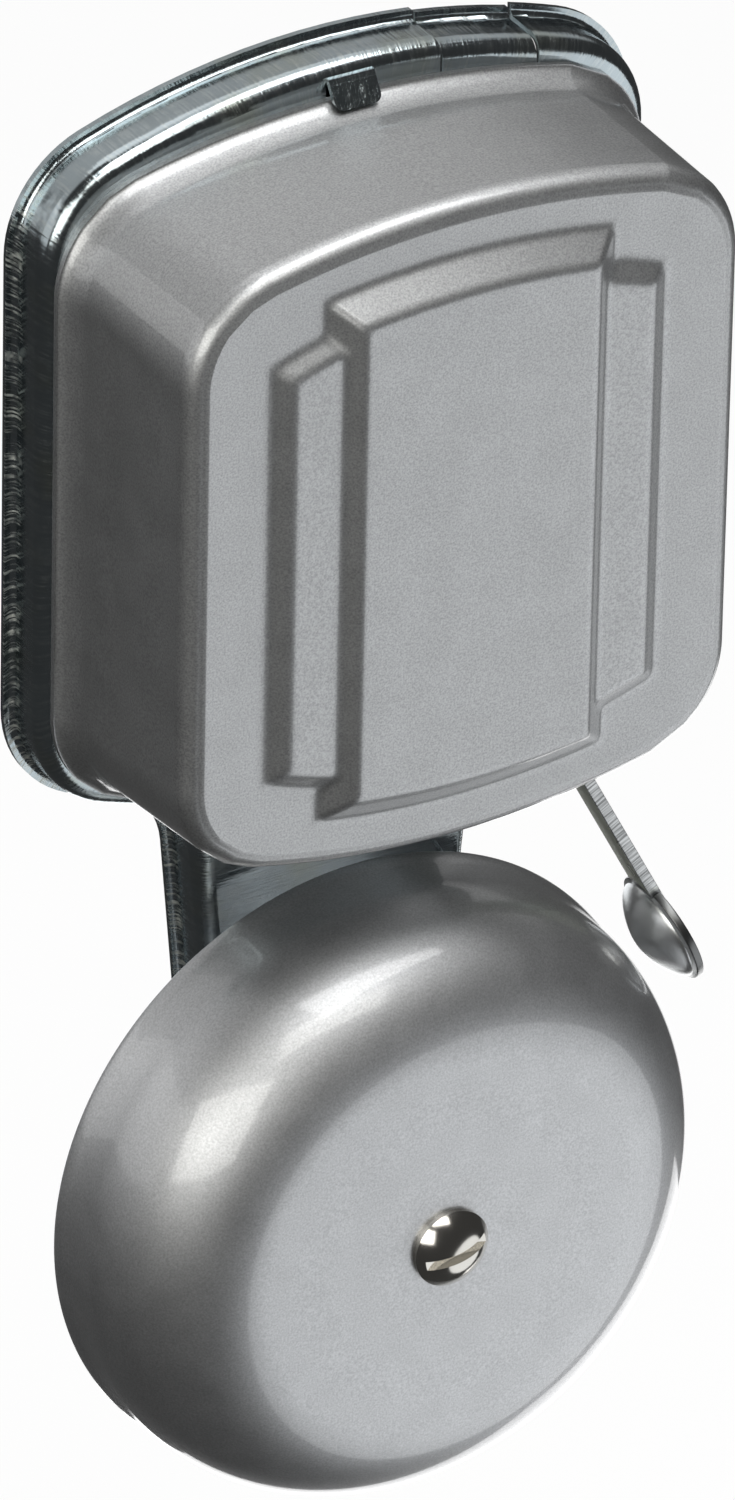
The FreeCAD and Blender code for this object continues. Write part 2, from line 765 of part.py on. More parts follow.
def slot_cutter(width, depth, length, top, axis, angle):
    """Bar that cuts a screwdriver slot of that depth into a head whose top is given."""
    bar = Part.makeBox(length, width, depth * 2, V(-length / 2, -width / 2, -depth))
    turn = FreeCAD.Rotation(V(0, 0, 1), axis)
    bar.Placement = FreeCAD.Placement(top, turn.multiply(FreeCAD.Rotation(V(0, 0, 1), angle)))
    return bar


def gong_screw():
    seat = V(0, -gong_crown, gong_z)
    head = domed_head(gong_screw_head_radius, gong_screw_head_height, gong_screw_head_edge,
                      seat, OUT)
    shank = rod(gong_screw_radius, seat, seat - OUT * gong_screw_length)
    slot = slot_cutter(gong_screw_slot, gong_screw_head_height / 2, gong_screw_head_radius * 3,
                       seat + OUT * gong_screw_head_height, OUT, gong_screw_slot_angle)
    return head.fuse(shank).cut(slot).removeSplitter()


# ---------------------------------------------------------------- electromagnet
def magnet_frame():
    """L of flat iron: the leg carries both cores, the arm carries the hinge spring."""
    leg_bottom = coil_heights[1] - coil_flange_radius
    leg = box(frame_left, frame_inner, frame_back, frame_front, leg_bottom, frame_top)
    top = box(frame_left, frame_right, frame_back, frame_front, frame_top - frame_sheet, frame_top)
    bar = leg.fuse(top).removeSplitter()
    outer_corner = [edge for edge in bar.Edges
                    if abs(edge.BoundBox.XMax - frame_left) < 1e-6
                    and abs(edge.BoundBox.ZMin - frame_top) < 1e-6]
    bar = bar.makeFillet(frame_corner_radius, outer_corner)
    for x, z in frame_lug_places():
        bar = bar.fuse(lug_box(x, z, base_face, frame_back, 0))
        bar = bar.fuse(lug_box(x, z, base_face - base_sheet - 0.5, base_face, -0.2))
    for z in coil_heights:
        bar = bar.cut(rod(core_tenon_radius, V(frame_left - 1, -coil_depth, z),
                          V(frame_inner + 1, -coil_depth, z)))
    for x in spring_screw_xs():
        bar = bar.cut(rod(terminal_screw_radius, V(x, -coil_depth, frame_top - frame_sheet),
                          V(x, -coil_depth, frame_top + 1)))
    return bar.removeSplitter()


def spring_screw_xs():
    edge = terminal_head_radius + free_clearance
    return (frame_right - hinge_spring_foot + edge, frame_right - edge)


def core(z):
    body = rod(core_radius, V(frame_inner, -coil_depth, z), V(pole_face, -coil_depth, z))
    tenon = rod(core_tenon_radius, V(frame_left, -coil_depth, z), V(frame_inner, -coil_depth, z))
    head = domed_head(core_head_radius, core_head_height, core_head_height / 3,
                      V(frame_left, -coil_depth, z), V(-1, 0, 0))
    return fuse([body, tenon, head])


def bobbin(z):
    bore = core_radius + seat_clearance
    start = frame_inner + seat_clearance
    barrel = tube(coil_barrel_radius, bore, V(start, -coil_depth, z), V(coil_end, -coil_depth, z))
    parts = [barrel]
    for x in (start, coil_end - coil_flange_sheet):
        parts.append(tube(coil_flange_radius, bore, V(x, -coil_depth, z),
                          V(x + coil_flange_sheet, -coil_depth, z)))
    return fuse(parts)


def winding(z):
    start = frame_inner + seat_clearance + coil_flange_sheet
    return tube(winding_radius, coil_barrel_radius, V(start, -coil_depth, z),
                V(coil_end - coil_flange_sheet, -coil_depth, z))


# ---------------------------------------------------------------- armature and hammer
def armature():
    bar = box(armature_left, armature_right, frame_back, frame_front, armature_bottom,
              armature_top)
    for depth, z in armature_rivet_places() + arm_rivet_places():
        bar = bar.cut(rod(rivet_radius, V(armature_left - 1, -depth, z),
                          V(armature_right + 1, -depth, z)))
    return bar


def armature_rivet_places():
    z = armature_top - hinge_spring_leg + 4.0
    return [(coil_depth - contact_depth + coil_depth, z), (contact_depth, z)]


def arm_rivet_places():
    low = arm_seat_z + arm_rivet_edge
    return [(striker_depth, low), (striker_depth, low + arm_rivet_pitch)]


def hinge_spring():
    """Leaf spring: its foot lies on the frame's arm, its leg on the armature's outer face."""
    inside_x = armature_right
    inside_z = frame_top
    outside_x = inside_x + hinge_spring_sheet
    outside_z = inside_z + hinge_spring_sheet
    left = frame_right - hinge_spring_foot
    bottom = armature_top - hinge_spring_leg
    front = coil_depth + hinge_spring_width / 2
    back = coil_depth - hinge_spring_width / 2
    outer = box(left, outside_x, back, front, bottom, outside_z)
    inner = box(left - 1, inside_x, back - 1, front + 1, bottom - 1, inside_z)
    outer = outer.makeFillet(hinge_spring_bend + hinge_spring_sheet, upright_edge(outer, outside_x,
                                                                                  outside_z))
    inner = inner.makeFillet(hinge_spring_bend, upright_edge(inner, inside_x, inside_z))
    spring = outer.cut(inner)
    for depth, z in armature_rivet_places():
        spring = spring.cut(rod(rivet_radius, V(armature_right - 1, -depth, z),
                                V(armature_right + 1, -depth, z)))
    for x in spring_screw_xs():
        spring = spring.cut(rod(terminal_screw_radius, V(x, -coil_depth, frame_top - 1),
                                V(x, -coil_depth, frame_top + 1)))
    return spring


def upright_edge(shape, x, z):
    """The edge along Y that stands at x and z."""
    found = []
    for edge in shape.Edges:
        bounds = edge.BoundBox
        if abs(bounds.XMin - x) + abs(bounds.XMax - x) < 1e-6:
            if abs(bounds.ZMin - z) + abs(bounds.ZMax - z) < 1e-6:
                found.append(edge)
    return found


def spring_screws():
    screws = []
    for x in spring_screw_xs():
        seat = V(x, -coil_depth, frame_top + hinge_spring_sheet)
        head = domed_head(terminal_head_radius, terminal_head_height, terminal_head_height / 3,
                          seat, V(0, 0, 1))
        shank = rod(terminal_screw_radius, seat - V(0, 0, frame_sheet), seat)
        slot = slot_cutter(terminal_slot, terminal_head_height / 2, terminal_head_radius * 3,
                           seat + V(0, 0, terminal_head_height), V(0, 0, 1), 30)
        screws.append(head.fuse(shank).cut(slot).removeSplitter())
    return Part.makeCompound(screws)


def rivet(start, end):
    """Rivet through a stack from start to end, with a domed head on each face."""
    axis = end - start
    axis.normalize()
    shank = rod(rivet_radius, start, end)
    heads = [domed_head(rivet_head_radius, rivet_head_height, rivet_head_height / 3, end, axis),
             domed_head(rivet_head_radius, rivet_head_height, rivet_head_height / 3, start,
                        axis * -1)]
    return fuse([shank] + heads)


def flush_rivet(start, end):
    """Rivet with one domed head; its tail is filed flush so that it clears the pole."""
    axis = end - start
    axis.normalize()
    head = domed_head(rivet_head_radius, rivet_head_height, rivet_head_height / 3, end, axis)
    return fuse([rod(rivet_radius, start, end), head])


def armature_rivets():
    (back, z), (front, _) = armature_rivet_places()
    stack = armature_right + hinge_spring_sheet
    return Part.makeCompound([
        flush_rivet(V(armature_left, -back, z), V(stack, -back, z)),
        flush_rivet(V(armature_left, -front, z), V(stack + contact_spring_sheet, -front, z))])


def arm_rivets():
    outside = armature_right + arm_sheet
    return Part.makeCompound([flush_rivet(V(armature_left, -depth, z), V(outside, -depth, z))
                              for depth, z in arm_rivet_places()])


def hammer_arm():
    """Flat strip bent away from the armature, ending in a disc with the striker's bowl."""
    front = striker_depth + arm_width / 2
    back = striker_depth - arm_width / 2
    bend = V(arm_middle_x, 0, arm_bend_z)
    end = V(arm_end.x, 0, arm_end.z)
    half_turn = arm_lean / 2
    offset = V(math.cos(half_turn), 0, math.sin(half_turn)) * (arm_sheet / 2 / math.cos(half_turn))
    across = arm_toward_gong * (arm_sheet / 2)
    top = arm_seat_z + arm_rivet_pitch + 2 * arm_rivet_edge
    outline = [V(armature_right, -back, top), V(armature_right + arm_sheet, -back, top)]
    outline += [V(p.x, -back, p.z) for p in (bend + offset, end - across, end + across,
                                             bend - offset)]
    strip = Part.Face(Part.makePolygon(outline + outline[:1])).extrude(V(0, back - front, 0))
    for depth, z in arm_rivet_places():
        strip = strip.cut(rod(rivet_radius, V(armature_right - 1, -depth, z),
                              V(armature_right + 2, -depth, z)))
    return fuse([strip, striker_disc()])


def striker_disc():
    """Disc with a pressed bowl: a spherical cap towards the gong, hollow behind."""
    disc_start = striker - striker_toward_gong * (arm_sheet / 2)
    disc_end = striker + striker_toward_gong * (arm_sheet / 2)
    sphere = (striker_bowl_radius ** 2 + striker_bowl_height ** 2) / (2 * striker_bowl_height)
    centre = disc_end + striker_toward_gong * (striker_bowl_height - sphere)
    ahead = Part.makeCylinder(striker_disc_radius, striker_bowl_height * 2, disc_end,
                              striker_toward_gong)
    bowl = Part.makeSphere(sphere, centre).common(ahead)
    disc = rod(striker_disc_radius, disc_start, disc_end)
    hollow = Part.makeSphere(sphere - striker_bowl_sheet, centre)
    behind = Part.makeCylinder(striker_disc_radius, sphere * 2, disc_start,
                               striker_toward_gong)
    return fuse([disc, bowl]).cut(hollow.common(behind))


# ---------------------------------------------------------------- contact breaker
def contact_spring_points():
    """Free line of the contact spring: on the hinge spring, then sprung clear of the armature."""
    x = armature_right + hinge_spring_sheet
    top = armature_rivet_places()[0][1] + rivet_head_radius + 1.0
    leave = armature_top - hinge_spring_leg
    return [(x, top), (x, leave), (x + contact_spring_free, contact_height),
            (x + contact_spring_free, contact_height - contact_spring_tail)]


def contact_spring():
    inner = contact_spring_points()
    outer = [(x + contact_spring_sheet, z) for x, z in inner]
    front = contact_depth + contact_spring_width / 2
    points = [point(x, z, front) for x, z in inner + outer[::-1]]
    strip = Part.Face(Part.makePolygon(points + points[:1])).extrude(
        V(0, contact_spring_width, 0))
    x, z = armature_right, armature_rivet_places()[1][1]
    strip = strip.cut(rod(rivet_radius, V(x - 1, -contact_depth, z), V(x + 2, -contact_depth, z)))
    face = contact_face()
    return strip.cut(rod(rivet_radius, V(face - 3, -contact_depth, contact_height),
                         V(face, -contact_depth, contact_height)))


def contact_face():
    """X of the spring contact's striking face."""
    return contact_spring_points()[2][0] + contact_spring_sheet + contact_thickness


def spring_contact():
    face = contact_face()
    back = contact_spring_points()[2][0]
    button = rod(contact_radius, V(face - contact_thickness, -contact_depth, contact_height),
                 V(face, -contact_depth, contact_height))
    shank = rod(rivet_radius, V(back, -contact_depth, contact_height),
                V(face, -contact_depth, contact_height))
    return fuse([button, shank])


def contact_bracket():
    """Brass angle on the insulator: upright cheek tapped for the contact screw, and a foot."""
    low = contact_height - bracket_width / 2
    high = contact_height + bracket_width / 2
    cheek = box(bracket_left, bracket_left + bracket_sheet, insulator_face,
                contact_depth + bracket_crest, low, high)
    foot = box(bracket_left, bracket_left + bracket_sheet + bracket_foot, insulator_face,
               insulator_face + bracket_sheet, low, high)
    bracket = cheek.fuse(foot).removeSplitter()
    bracket = bracket.cut(rod(contact_screw_radius + sliding_clearance,
                              V(bracket_left - 1, -contact_depth, contact_height),
                              V(bracket_left + bracket_sheet + 1, -contact_depth, contact_height)))
    return bracket.cut(rod(rivet_radius, bracket_rivet_at(base_face),
                           bracket_rivet_at(insulator_face + bracket_sheet + 1)))


def bracket_rivet_at(depth):
    x = bracket_left + bracket_sheet + bracket_foot / 2
    return V(x, -depth, contact_height)


def contact_insulator():
    low = contact_height - bracket_width / 2 - insulator_margin
    high = contact_height + bracket_width / 2 + insulator_margin
    plate = box(bracket_left - insulator_margin,
                bracket_left + bracket_sheet + bracket_foot + insulator_margin,
                base_face, insulator_face, low, high)
    return plate.cut(rod(rivet_radius, bracket_rivet_at(0), bracket_rivet_at(insulator_face + 1)))


def back_insulator():
    """Fibre washer behind the pan's face that keeps the bracket's rivet off the steel."""
    back = base_face - base_sheet
    return tube(rivet_head_radius + 1.1, rivet_radius, bracket_rivet_at(back - insulator_sheet),
                bracket_rivet_at(back))


def bracket_rivet():
    return rivet(bracket_rivet_at(base_face - base_sheet - insulator_sheet),
                 bracket_rivet_at(insulator_face + bracket_sheet))


def contact_screw_span():
    """X of the contact screw's tip, and of the seat of its head."""
    tip = contact_face() + contact_gap
    seat = bracket_left + bracket_sheet + lock_nut_height + contact_screw_tail
    return tip, seat


def contact_screw():
    tip, seat = contact_screw_span()
    shank = rod(contact_screw_radius, V(tip, -contact_depth, contact_height),
                V(seat, -contact_depth, contact_height))
    head = domed_head(contact_screw_head_radius, contact_screw_head_height,
                      contact_screw_head_height * 0.75, V(seat, -contact_depth, contact_height),
                      X_AXIS)
    slot = slot_cutter(contact_screw_slot, contact_screw_head_height / 2,
                       contact_screw_head_radius * 3,
                       V(seat + contact_screw_head_height, -contact_depth, contact_height),
                       X_AXIS, 20)
    return head.fuse(shank).cut(slot).removeSplitter()


def lock_nut():
    start = V(bracket_left + bracket_sheet, -contact_depth, contact_height)
    corner = lock_nut_width / 2 / math.cos(math.pi / 6)
    points = []
    for side in range(6):
        turn = math.pi / 3 * side
        points.append(start + V(0, corner * math.cos(turn), corner * math.sin(turn)))
    nut = Part.Face(Part.makePolygon(points + points[:1])).extrude(X_AXIS * lock_nut_height)
    bore = rod(contact_screw_radius + sliding_clearance, start - X_AXIS,
               start + X_AXIS * (lock_nut_height + 1))
    return nut.cut(bore)


# ---------------------------------------------------------------- terminals
def terminal_rivet_xs():
    return (terminal_middle,)


def terminal_plate():
    right = terminal_plate_left + terminal_plate_length
    plate = box(terminal_plate_left, right, base_face, terminal_plate_face,
                terminal_plate_bottom, terminal_plate_bottom + terminal_plate_width)
    for x in terminal_rivet_xs():
        plate = plate.cut(rod(rivet_radius, V(x, 0, terminal_z), V(x, -cover_face, terminal_z)))
    for x in terminal_xs:
        plate = plate.cut(rod(terminal_screw_radius + sliding_clearance, V(x, 0, terminal_z),
                              V(x, -cover_face, terminal_z)))
    return plate


def terminal_rivet():
    x = terminal_rivet_xs()[0]
    return rivet(V(x, -base_face + base_sheet, terminal_z), V(x, -terminal_plate_face, terminal_z))


def terminal_tab(x):
    """Brass tab under each terminal screw, with its solder end towards the coils."""
    half = terminal_tab_width / 2
    bottom = terminal_plate_bottom + 0.6
    top = terminal_plate_bottom + terminal_plate_width + terminal_tab_tail
    tab = box(x - half, x + half, terminal_plate_face, terminal_plate_face + terminal_tab_sheet,
              bottom, top)
    return tab.cut(rod(terminal_screw_radius + sliding_clearance, V(x, 0, terminal_z),
                       V(x, -cover_face, terminal_z)))


def terminal_washer(x):
    face = terminal_plate_face + terminal_tab_sheet
    return tube(terminal_washer_radius, terminal_screw_radius + sliding_clearance,
                V(x, -face, terminal_z), V(x, -face - terminal_washer_sheet, terminal_z))


def terminal_screw(x, angle):
    seat = V(x, -terminal_plate_face - terminal_tab_sheet - terminal_washer_sheet, terminal_z)
    head = domed_head(terminal_head_radius, terminal_head_height, terminal_head_height / 2,
                      seat, OUT)
    shank = rod(terminal_screw_radius, seat - OUT * terminal_screw_reach(), seat)
    slot = slot_cutter(terminal_slot, terminal_head_height / 2, terminal_head_radius * 3,
                       seat + OUT * terminal_head_height, OUT, angle)
    return head.fuse(shank).cut(slot).removeSplitter()


def terminal_screw_reach():
    """The screw stops inside the plate, clear of the pan's steel face."""
    stack = terminal_plate_sheet + terminal_tab_sheet + terminal_washer_sheet
    return min(terminal_screw_length, stack - free_clearance)


def wire_grommet():
    """Rubber grommet in the wire hole: a neck between two flanges."""
    face = base_face
    back = base_face - base_sheet
    outline = [(grommet_hole_radius, back - grommet_flange),
               (grommet_flange_radius, back - grommet_flange), (grommet_flange_radius, back),
               (grommet_neck_radius, back), (grommet_neck_radius, face),
               (grommet_flange_radius, face), (grommet_flange_radius, face + grommet_flange),
               (grommet_hole_radius, face + grommet_flange)]
    points = [V(grommet_x + radius, -depth, grommet_z) for radius, depth in outline]
    section = Part.Face(Part.makePolygon(points + points[:1]))
    return section.revolve(V(grommet_x, 0, grommet_z), V(0, 1, 0), 360)


# ---------------------------------------------------------------- leads
def lead(points):
    """Insulated wire: straight runs joined by tangent arcs, swept with a round section."""
    edges = []
    here = points[0]
    for index in range(1, len(points) - 1):
        before = points[index - 1] - points[index]
        after = points[index + 1] - points[index]
        half_turn = (math.pi - before.getAngle(after)) / 2
        shorter = min(before.Length, after.Length)
        setback = 0.45 * shorter
        radius = setback / math.tan(half_turn)
        before.normalize()
        after.normalize()
        start = points[index] + before * setback
        end = points[index] + after * setback
        inward = before + after
        inward.normalize()
        middle = points[index] + inward * (radius / math.cos(half_turn) - radius)
        edges += [line(here, start), arc(start, middle, end)]
        here = end
    edges.append(line(here, points[-1]))
    path = Part.Wire(edges)
    along = points[1] - points[0]
    section = Part.Wire(Part.makeCircle(lead_radius, points[0], along))
    return Part.makeSolid(path.makePipeShell([section], True, False))


def on_winding(x, z, angle):
    """Axis of a lead that lies on a winding, at an angle from straight back up towards +Z."""
    reach = winding_radius + lead_radius + lead_gap
    turn = math.radians(angle)
    return V(x, -coil_depth + reach * math.cos(turn), z + reach * math.sin(turn))


def tab_tail(x):
    """Axis of a lead that lies on the solder end of a terminal's tab."""
    face = terminal_plate_face + terminal_tab_sheet + lead_radius + lead_gap
    return V(x, -face, terminal_plate_bottom + terminal_plate_width + terminal_tab_tail / 2)


def terminal_lead():
    """From the left terminal's tab, past the frame's leg, on to the lower winding."""
    first = tab_tail(terminal_xs[0])
    last = on_winding(coil_centre - 2.2, coil_heights[1], -45)
    turn = V(frame_inner + 4.0, first.y, first.z)
    return lead([first, turn, last - X_AXIS * 3.0, last])


def link_lead():
    """Between the two windings, behind them, near the pole ends."""
    x = coil_end - 3.4
    lower = on_winding(x, coil_heights[1], 0)
    upper = on_winding(x, coil_heights[0], 0)
    bow = V(-1.0, 0.5, 3.0)
    return lead([lower, lower + bow, V(x - 1.0, lower.y + 0.5, upper.z - 3.0), upper])


def frame_lead():
    """From the upper winding to the back edge of the frame's arm."""
    first = on_winding(coil_centre + 1.3, coil_heights[0], 37)
    edge = V(first.x - 6.0, -frame_back + lead_radius + lead_gap, frame_top - frame_sheet / 2)
    return lead([first, first - X_AXIS * 3.0, edge, edge - X_AXIS * 3.5])


def contact_lead():
    """From the contact bracket's foot, down across the base, to the right terminal's tab."""
    foot_x = bracket_rivet_at(0).x + 0.8
    foot = -insulator_face - bracket_sheet - lead_radius - lead_gap
    base = -base_face - lead_radius - lead_gap
    top = contact_height - rivet_head_radius - lead_radius - lead_gap
    low = contact_height - bracket_width / 2 - insulator_margin
    tail = tab_tail(terminal_xs[1])
    return lead([V(foot_x, foot, top - 0.2), V(foot_x, foot, low - 0.9),
                 V(foot_x - 2.8, base, low - 5.2), V(4.0, base, tail.z - 0.4),
                 V(tail.x + lead_climb + 4.0, base, tail.z),
                 V(tail.x + lead_climb, tail.y, tail.z),
                 tail - X_AXIS * 0.6])


# ---------------------------------------------------------------- export
def main():
    os.makedirs("parts", exist_ok=True)
    export("base_plate", base_plate())
    export("cover", cover())
    export("gong", gong())
    export("gong_post", gong_post())
    export("gong_washer", gong_washer())
    export("gong_screw", gong_screw())
    export("magnet_frame", magnet_frame())
    for name, z in zip(("upper", "lower"), coil_heights):
        export("core_" + name, core(z))
        export("bobbin_" + name, bobbin(z))
        export("winding_" + name, winding(z))
    export("armature", armature())
    export("hinge_spring", hinge_spring())
    export("spring_screws", spring_screws())
    export("armature_rivets", armature_rivets())
    export("hammer_arm", hammer_arm())
    export("arm_rivets", arm_rivets())
    export("contact_spring", contact_spring())
    export("spring_contact", spring_contact())
    export("contact_bracket", contact_bracket())
    export("contact_insulator", contact_insulator())
    export("back_insulator", back_insulator())
    export("bracket_rivet", bracket_rivet())
    export("contact_screw", contact_screw())
    export("lock_nut", lock_nut())
    export("terminal_plate", terminal_plate())
    export("terminal_rivet", terminal_rivet())
    for name, x, angle in zip(("left", "right"), terminal_xs, (35, -20)):
        export("terminal_tab_" + name, terminal_tab(x))
        export("terminal_washer_" + name, terminal_washer(x))
        export("terminal_screw_" + name, terminal_screw(x, angle))
    export("wire_grommet", wire_grommet())
    export("terminal_lead", terminal_lead())
    export("link_lead", link_lead())
    export("frame_lead", frame_lead())
    export("contact_lead", contact_lead())


main()
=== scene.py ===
"""Wired trembler door bell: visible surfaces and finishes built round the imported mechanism.

Run as a script in Blender. Every length is in metres, X to the right, -Y to the front, Z up.
"""

import json
import math

import bpy
import numpy as np
from mathutils import Matrix, Vector


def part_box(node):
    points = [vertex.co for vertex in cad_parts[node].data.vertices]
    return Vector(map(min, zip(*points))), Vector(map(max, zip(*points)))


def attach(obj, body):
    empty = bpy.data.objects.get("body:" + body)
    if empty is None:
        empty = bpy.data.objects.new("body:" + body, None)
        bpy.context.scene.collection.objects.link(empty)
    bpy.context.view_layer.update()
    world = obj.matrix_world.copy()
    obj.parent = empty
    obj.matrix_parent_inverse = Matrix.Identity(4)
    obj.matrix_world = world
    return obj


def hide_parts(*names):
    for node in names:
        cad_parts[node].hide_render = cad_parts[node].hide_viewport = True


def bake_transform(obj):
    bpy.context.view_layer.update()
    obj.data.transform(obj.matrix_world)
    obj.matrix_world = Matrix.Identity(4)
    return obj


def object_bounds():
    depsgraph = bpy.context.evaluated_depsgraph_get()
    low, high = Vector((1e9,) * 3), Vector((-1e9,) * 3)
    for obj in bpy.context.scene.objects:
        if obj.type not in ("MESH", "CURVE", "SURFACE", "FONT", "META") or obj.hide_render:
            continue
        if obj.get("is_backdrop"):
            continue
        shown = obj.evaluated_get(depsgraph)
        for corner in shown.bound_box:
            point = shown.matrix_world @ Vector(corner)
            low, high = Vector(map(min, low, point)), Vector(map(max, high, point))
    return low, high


bl_info = {
    "name": "Trembler door bell",
    "version": (1, 0, 0),
    "blender": (4, 5, 0),
    "location": "3D View > Sidebar > Door bell",
    "description": "Builds the cover, gong, hammer, coils and finishes of a wired door bell",
    "category": "Object",
}

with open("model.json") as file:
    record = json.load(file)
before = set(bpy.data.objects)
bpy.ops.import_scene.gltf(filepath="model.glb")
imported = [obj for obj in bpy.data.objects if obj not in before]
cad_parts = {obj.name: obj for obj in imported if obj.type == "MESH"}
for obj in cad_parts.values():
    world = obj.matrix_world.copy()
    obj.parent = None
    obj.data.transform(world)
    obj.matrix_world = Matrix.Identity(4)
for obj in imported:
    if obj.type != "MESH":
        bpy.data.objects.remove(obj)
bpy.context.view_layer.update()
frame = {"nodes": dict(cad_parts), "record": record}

Y_AXIS = np.array([0.0, 1.0, 0.0])


# ---- sizes a user would change
def length(name, description, default):
    return bpy.props.FloatProperty(name=name, description=description, default=default,
                                   min=0.0, unit="LENGTH", subtype="DISTANCE", precision=6)


def angle(name, description, degrees):
    return bpy.props.FloatProperty(name=name, description=description, unit="ROTATION",
                                   default=math.radians(degrees), subtype="ANGLE")


def tint(name, description, default):
    return bpy.props.FloatVectorProperty(name=name, description=description, default=default,
                                         min=0.0, max=1.0, size=3, subtype="COLOR")


def share(name, description, default):
    return bpy.props.FloatProperty(name=name, description=description, default=default,
                                   min=0.0, soft_max=1.0, subtype="FACTOR")


class CoverSizes(bpy.types.PropertyGroup):
    """Sizes of the drawn cover."""

    sheet: length("Sheet", "Thickness of the cover's sheet", 0.0006)
    seat: length("Seat", "How far the lip's back stands off the wall", 0.0057)
    depth: length("Depth", "From the lip's back to the flat face", 0.0209)
    half_width: length("Half width", "Half the width of the face's outline", 0.0288)
    half_height: length("Half height", "Half the height of the face's outline", 0.03295)
    crown: length("Crown radius", "Radius of the arched top and bottom", 0.090)
    corner: length("Corner radius", "Radius of the corners at the face", 0.0106)
    back_corner: length("Back corner", "Radius of the corners at the lip", 0.0094)
    draft: length("Draft", "How much wider the cover is at the lip", 0.0005)
    edge: length("Edge radius", "Bend between wall and face", 0.00195)
    lip: length("Lip width", "How far the lip turns outwards", 0.00135)
    lip_bend: length("Lip bend", "How far the bend to the lip reaches outwards", 0.00138)
    bend_rise: length("Bend rise", "How far the bend to the lip reaches up the wall", 0.0028)
    flare: share("Flare", "How nearly straight the bend to the lip is", 0.32)
    rise: length("Face rise", "How far the face's middle lies above the origin", 0.00025)
    drop: length("Lip drop", "How far the lip's middle lies below the origin", 0.0003)
    notch_left: length("Notch left", "Left side of the hammer's notch", 0.01537)
    notch_right: length("Notch right", "Right side of the hammer's notch", 0.02357)
    notch_depth: length("Notch depth", "How far the notch runs from the lip", 0.0110)


class ReliefSizes(bpy.types.PropertyGroup):
    """Sizes of the cover's stepped relief: a middle panel, and the lower wings behind it."""

    panel_width: length("Panel half width", "Half the width of the middle panel", 0.01517)
    panel_corner: length("Panel corner", "Height of the panel's corners", 0.0268)
    panel_radius: length("Panel radius", "Radius of the panel's arched ends", 0.086)
    panel_height: length("Panel height", "How far the panel stands above the face", 0.0026)
    panel_bevel: length("Panel bevel", "Width of the panel's sloping sides", 0.0030)
    wing_width: length("Wing half width", "Half the width over both wings", 0.02076)
    wing_corner: length("Wing corner", "Height of the wings' corners", 0.0215)
    wing_radius: length("Wing radius", "Radius of the wings' arched ends", 0.056)
    wing_height: length("Wing height", "How far the wings stand above the face", 0.0014)
    wing_bevel: length("Wing bevel", "Width of the wings' sloping sides", 0.0021)
    bend: length("Bend", "Half the span of each soft bend", 0.00058)


class GongSizes(bpy.types.PropertyGroup):
    """Sizes of the gong."""

    drop: length("Drop", "How far the gong's axis lies below the origin", 0.0760)
    rim_depth: length("Rim depth", "How far the rim stands off the wall", 0.00893)
    radius: length("Radius", "Outside radius of the rim", 0.03175)
    height: length("Height", "From the rim to the crown", 0.0181)
    sheet: length("Sheet", "Thickness of the gong", 0.0011)
    shoulder: length("Shoulder", "Radius of the rounded shoulder", 0.0127)
    crown: length("Crown radius", "Radius of the nearly flat front", 0.540)
    taper: angle("Taper", "Lean of the skirt", 1.1)
    lip_width: length("Lip width", "How far the rim stands proud of the skirt", 0.0003)
    lip_height: length("Lip height", "How far the rim's flare runs up", 0.0022)
    hole: length("Hole", "Radius of the hole for the screw", 0.0023)
    rim: length("Rim rounding", "Radius of the rim's rounded edges", 0.00022)


class HammerSizes(bpy.types.PropertyGroup):
    """Sizes of the hammer's strip and striker."""

    x: length("Striker X", "Middle of the striker, to the right", 0.03139)
    height: length("Striker height", "Middle of the striker above the gong's axis", 0.0179)
    depth: length("Depth", "How far the arm's middle stands off the wall", 0.01295)
    lean: angle("Striker lean", "Lean of the striker's disc", 22.6)
    arm_lean: angle("Arm lean", "Lean of the arm", 28.2)
    disc: length("Disc radius", "Radius of the striker's flat disc", 0.0057)
    disc_edge: length("Disc edge", "Thickness of the disc at its cut edge", 0.0008)
    bowl: length("Bowl radius", "Radius of the pressed bowl", 0.0052)
    bowl_height: length("Bowl height", "Height of the pressed bowl", 0.00252)
    hollow: share("Hollow", "Radius of the bowl's hollow as a share of the bowl's", 0.86)
    thinning: length("Thinning", "How much thinner the bowl is at its crown", 0.0002)
    disc_round: length("Disc rounding", "Rounding of the disc's cut edge", 0.00015)
    sheet: length("Sheet", "Thickness of the strip", 0.00115)
    width: length("Width", "Width of the strip", 0.0037)
    root: length("Root", "How far the strip runs on to the disc", 0.0010)
    top: length("Top", "How far the strip's upper end lies below the origin", 0.0075)
    tip: length("Tip", "How far the strip's lower end runs past its root", 0.0012)
    knee: length("Knee", "Radius of the strip's bend", 0.0016)
    strip_round: length("Strip rounding", "Rounding of the strip's edges", 0.00009)


class CoilSizes(bpy.types.PropertyGroup):
    """Sizes of the two wound coils."""

    pitch: length("Wire pitch", "Distance from turn to turn of the wire", 0.00042)
    groove: share("Groove", "Depth between two turns as a share of the pitch", 0.42)
    bore: share("Bore", "Radius of the bore as a share of the coil's", 0.6)


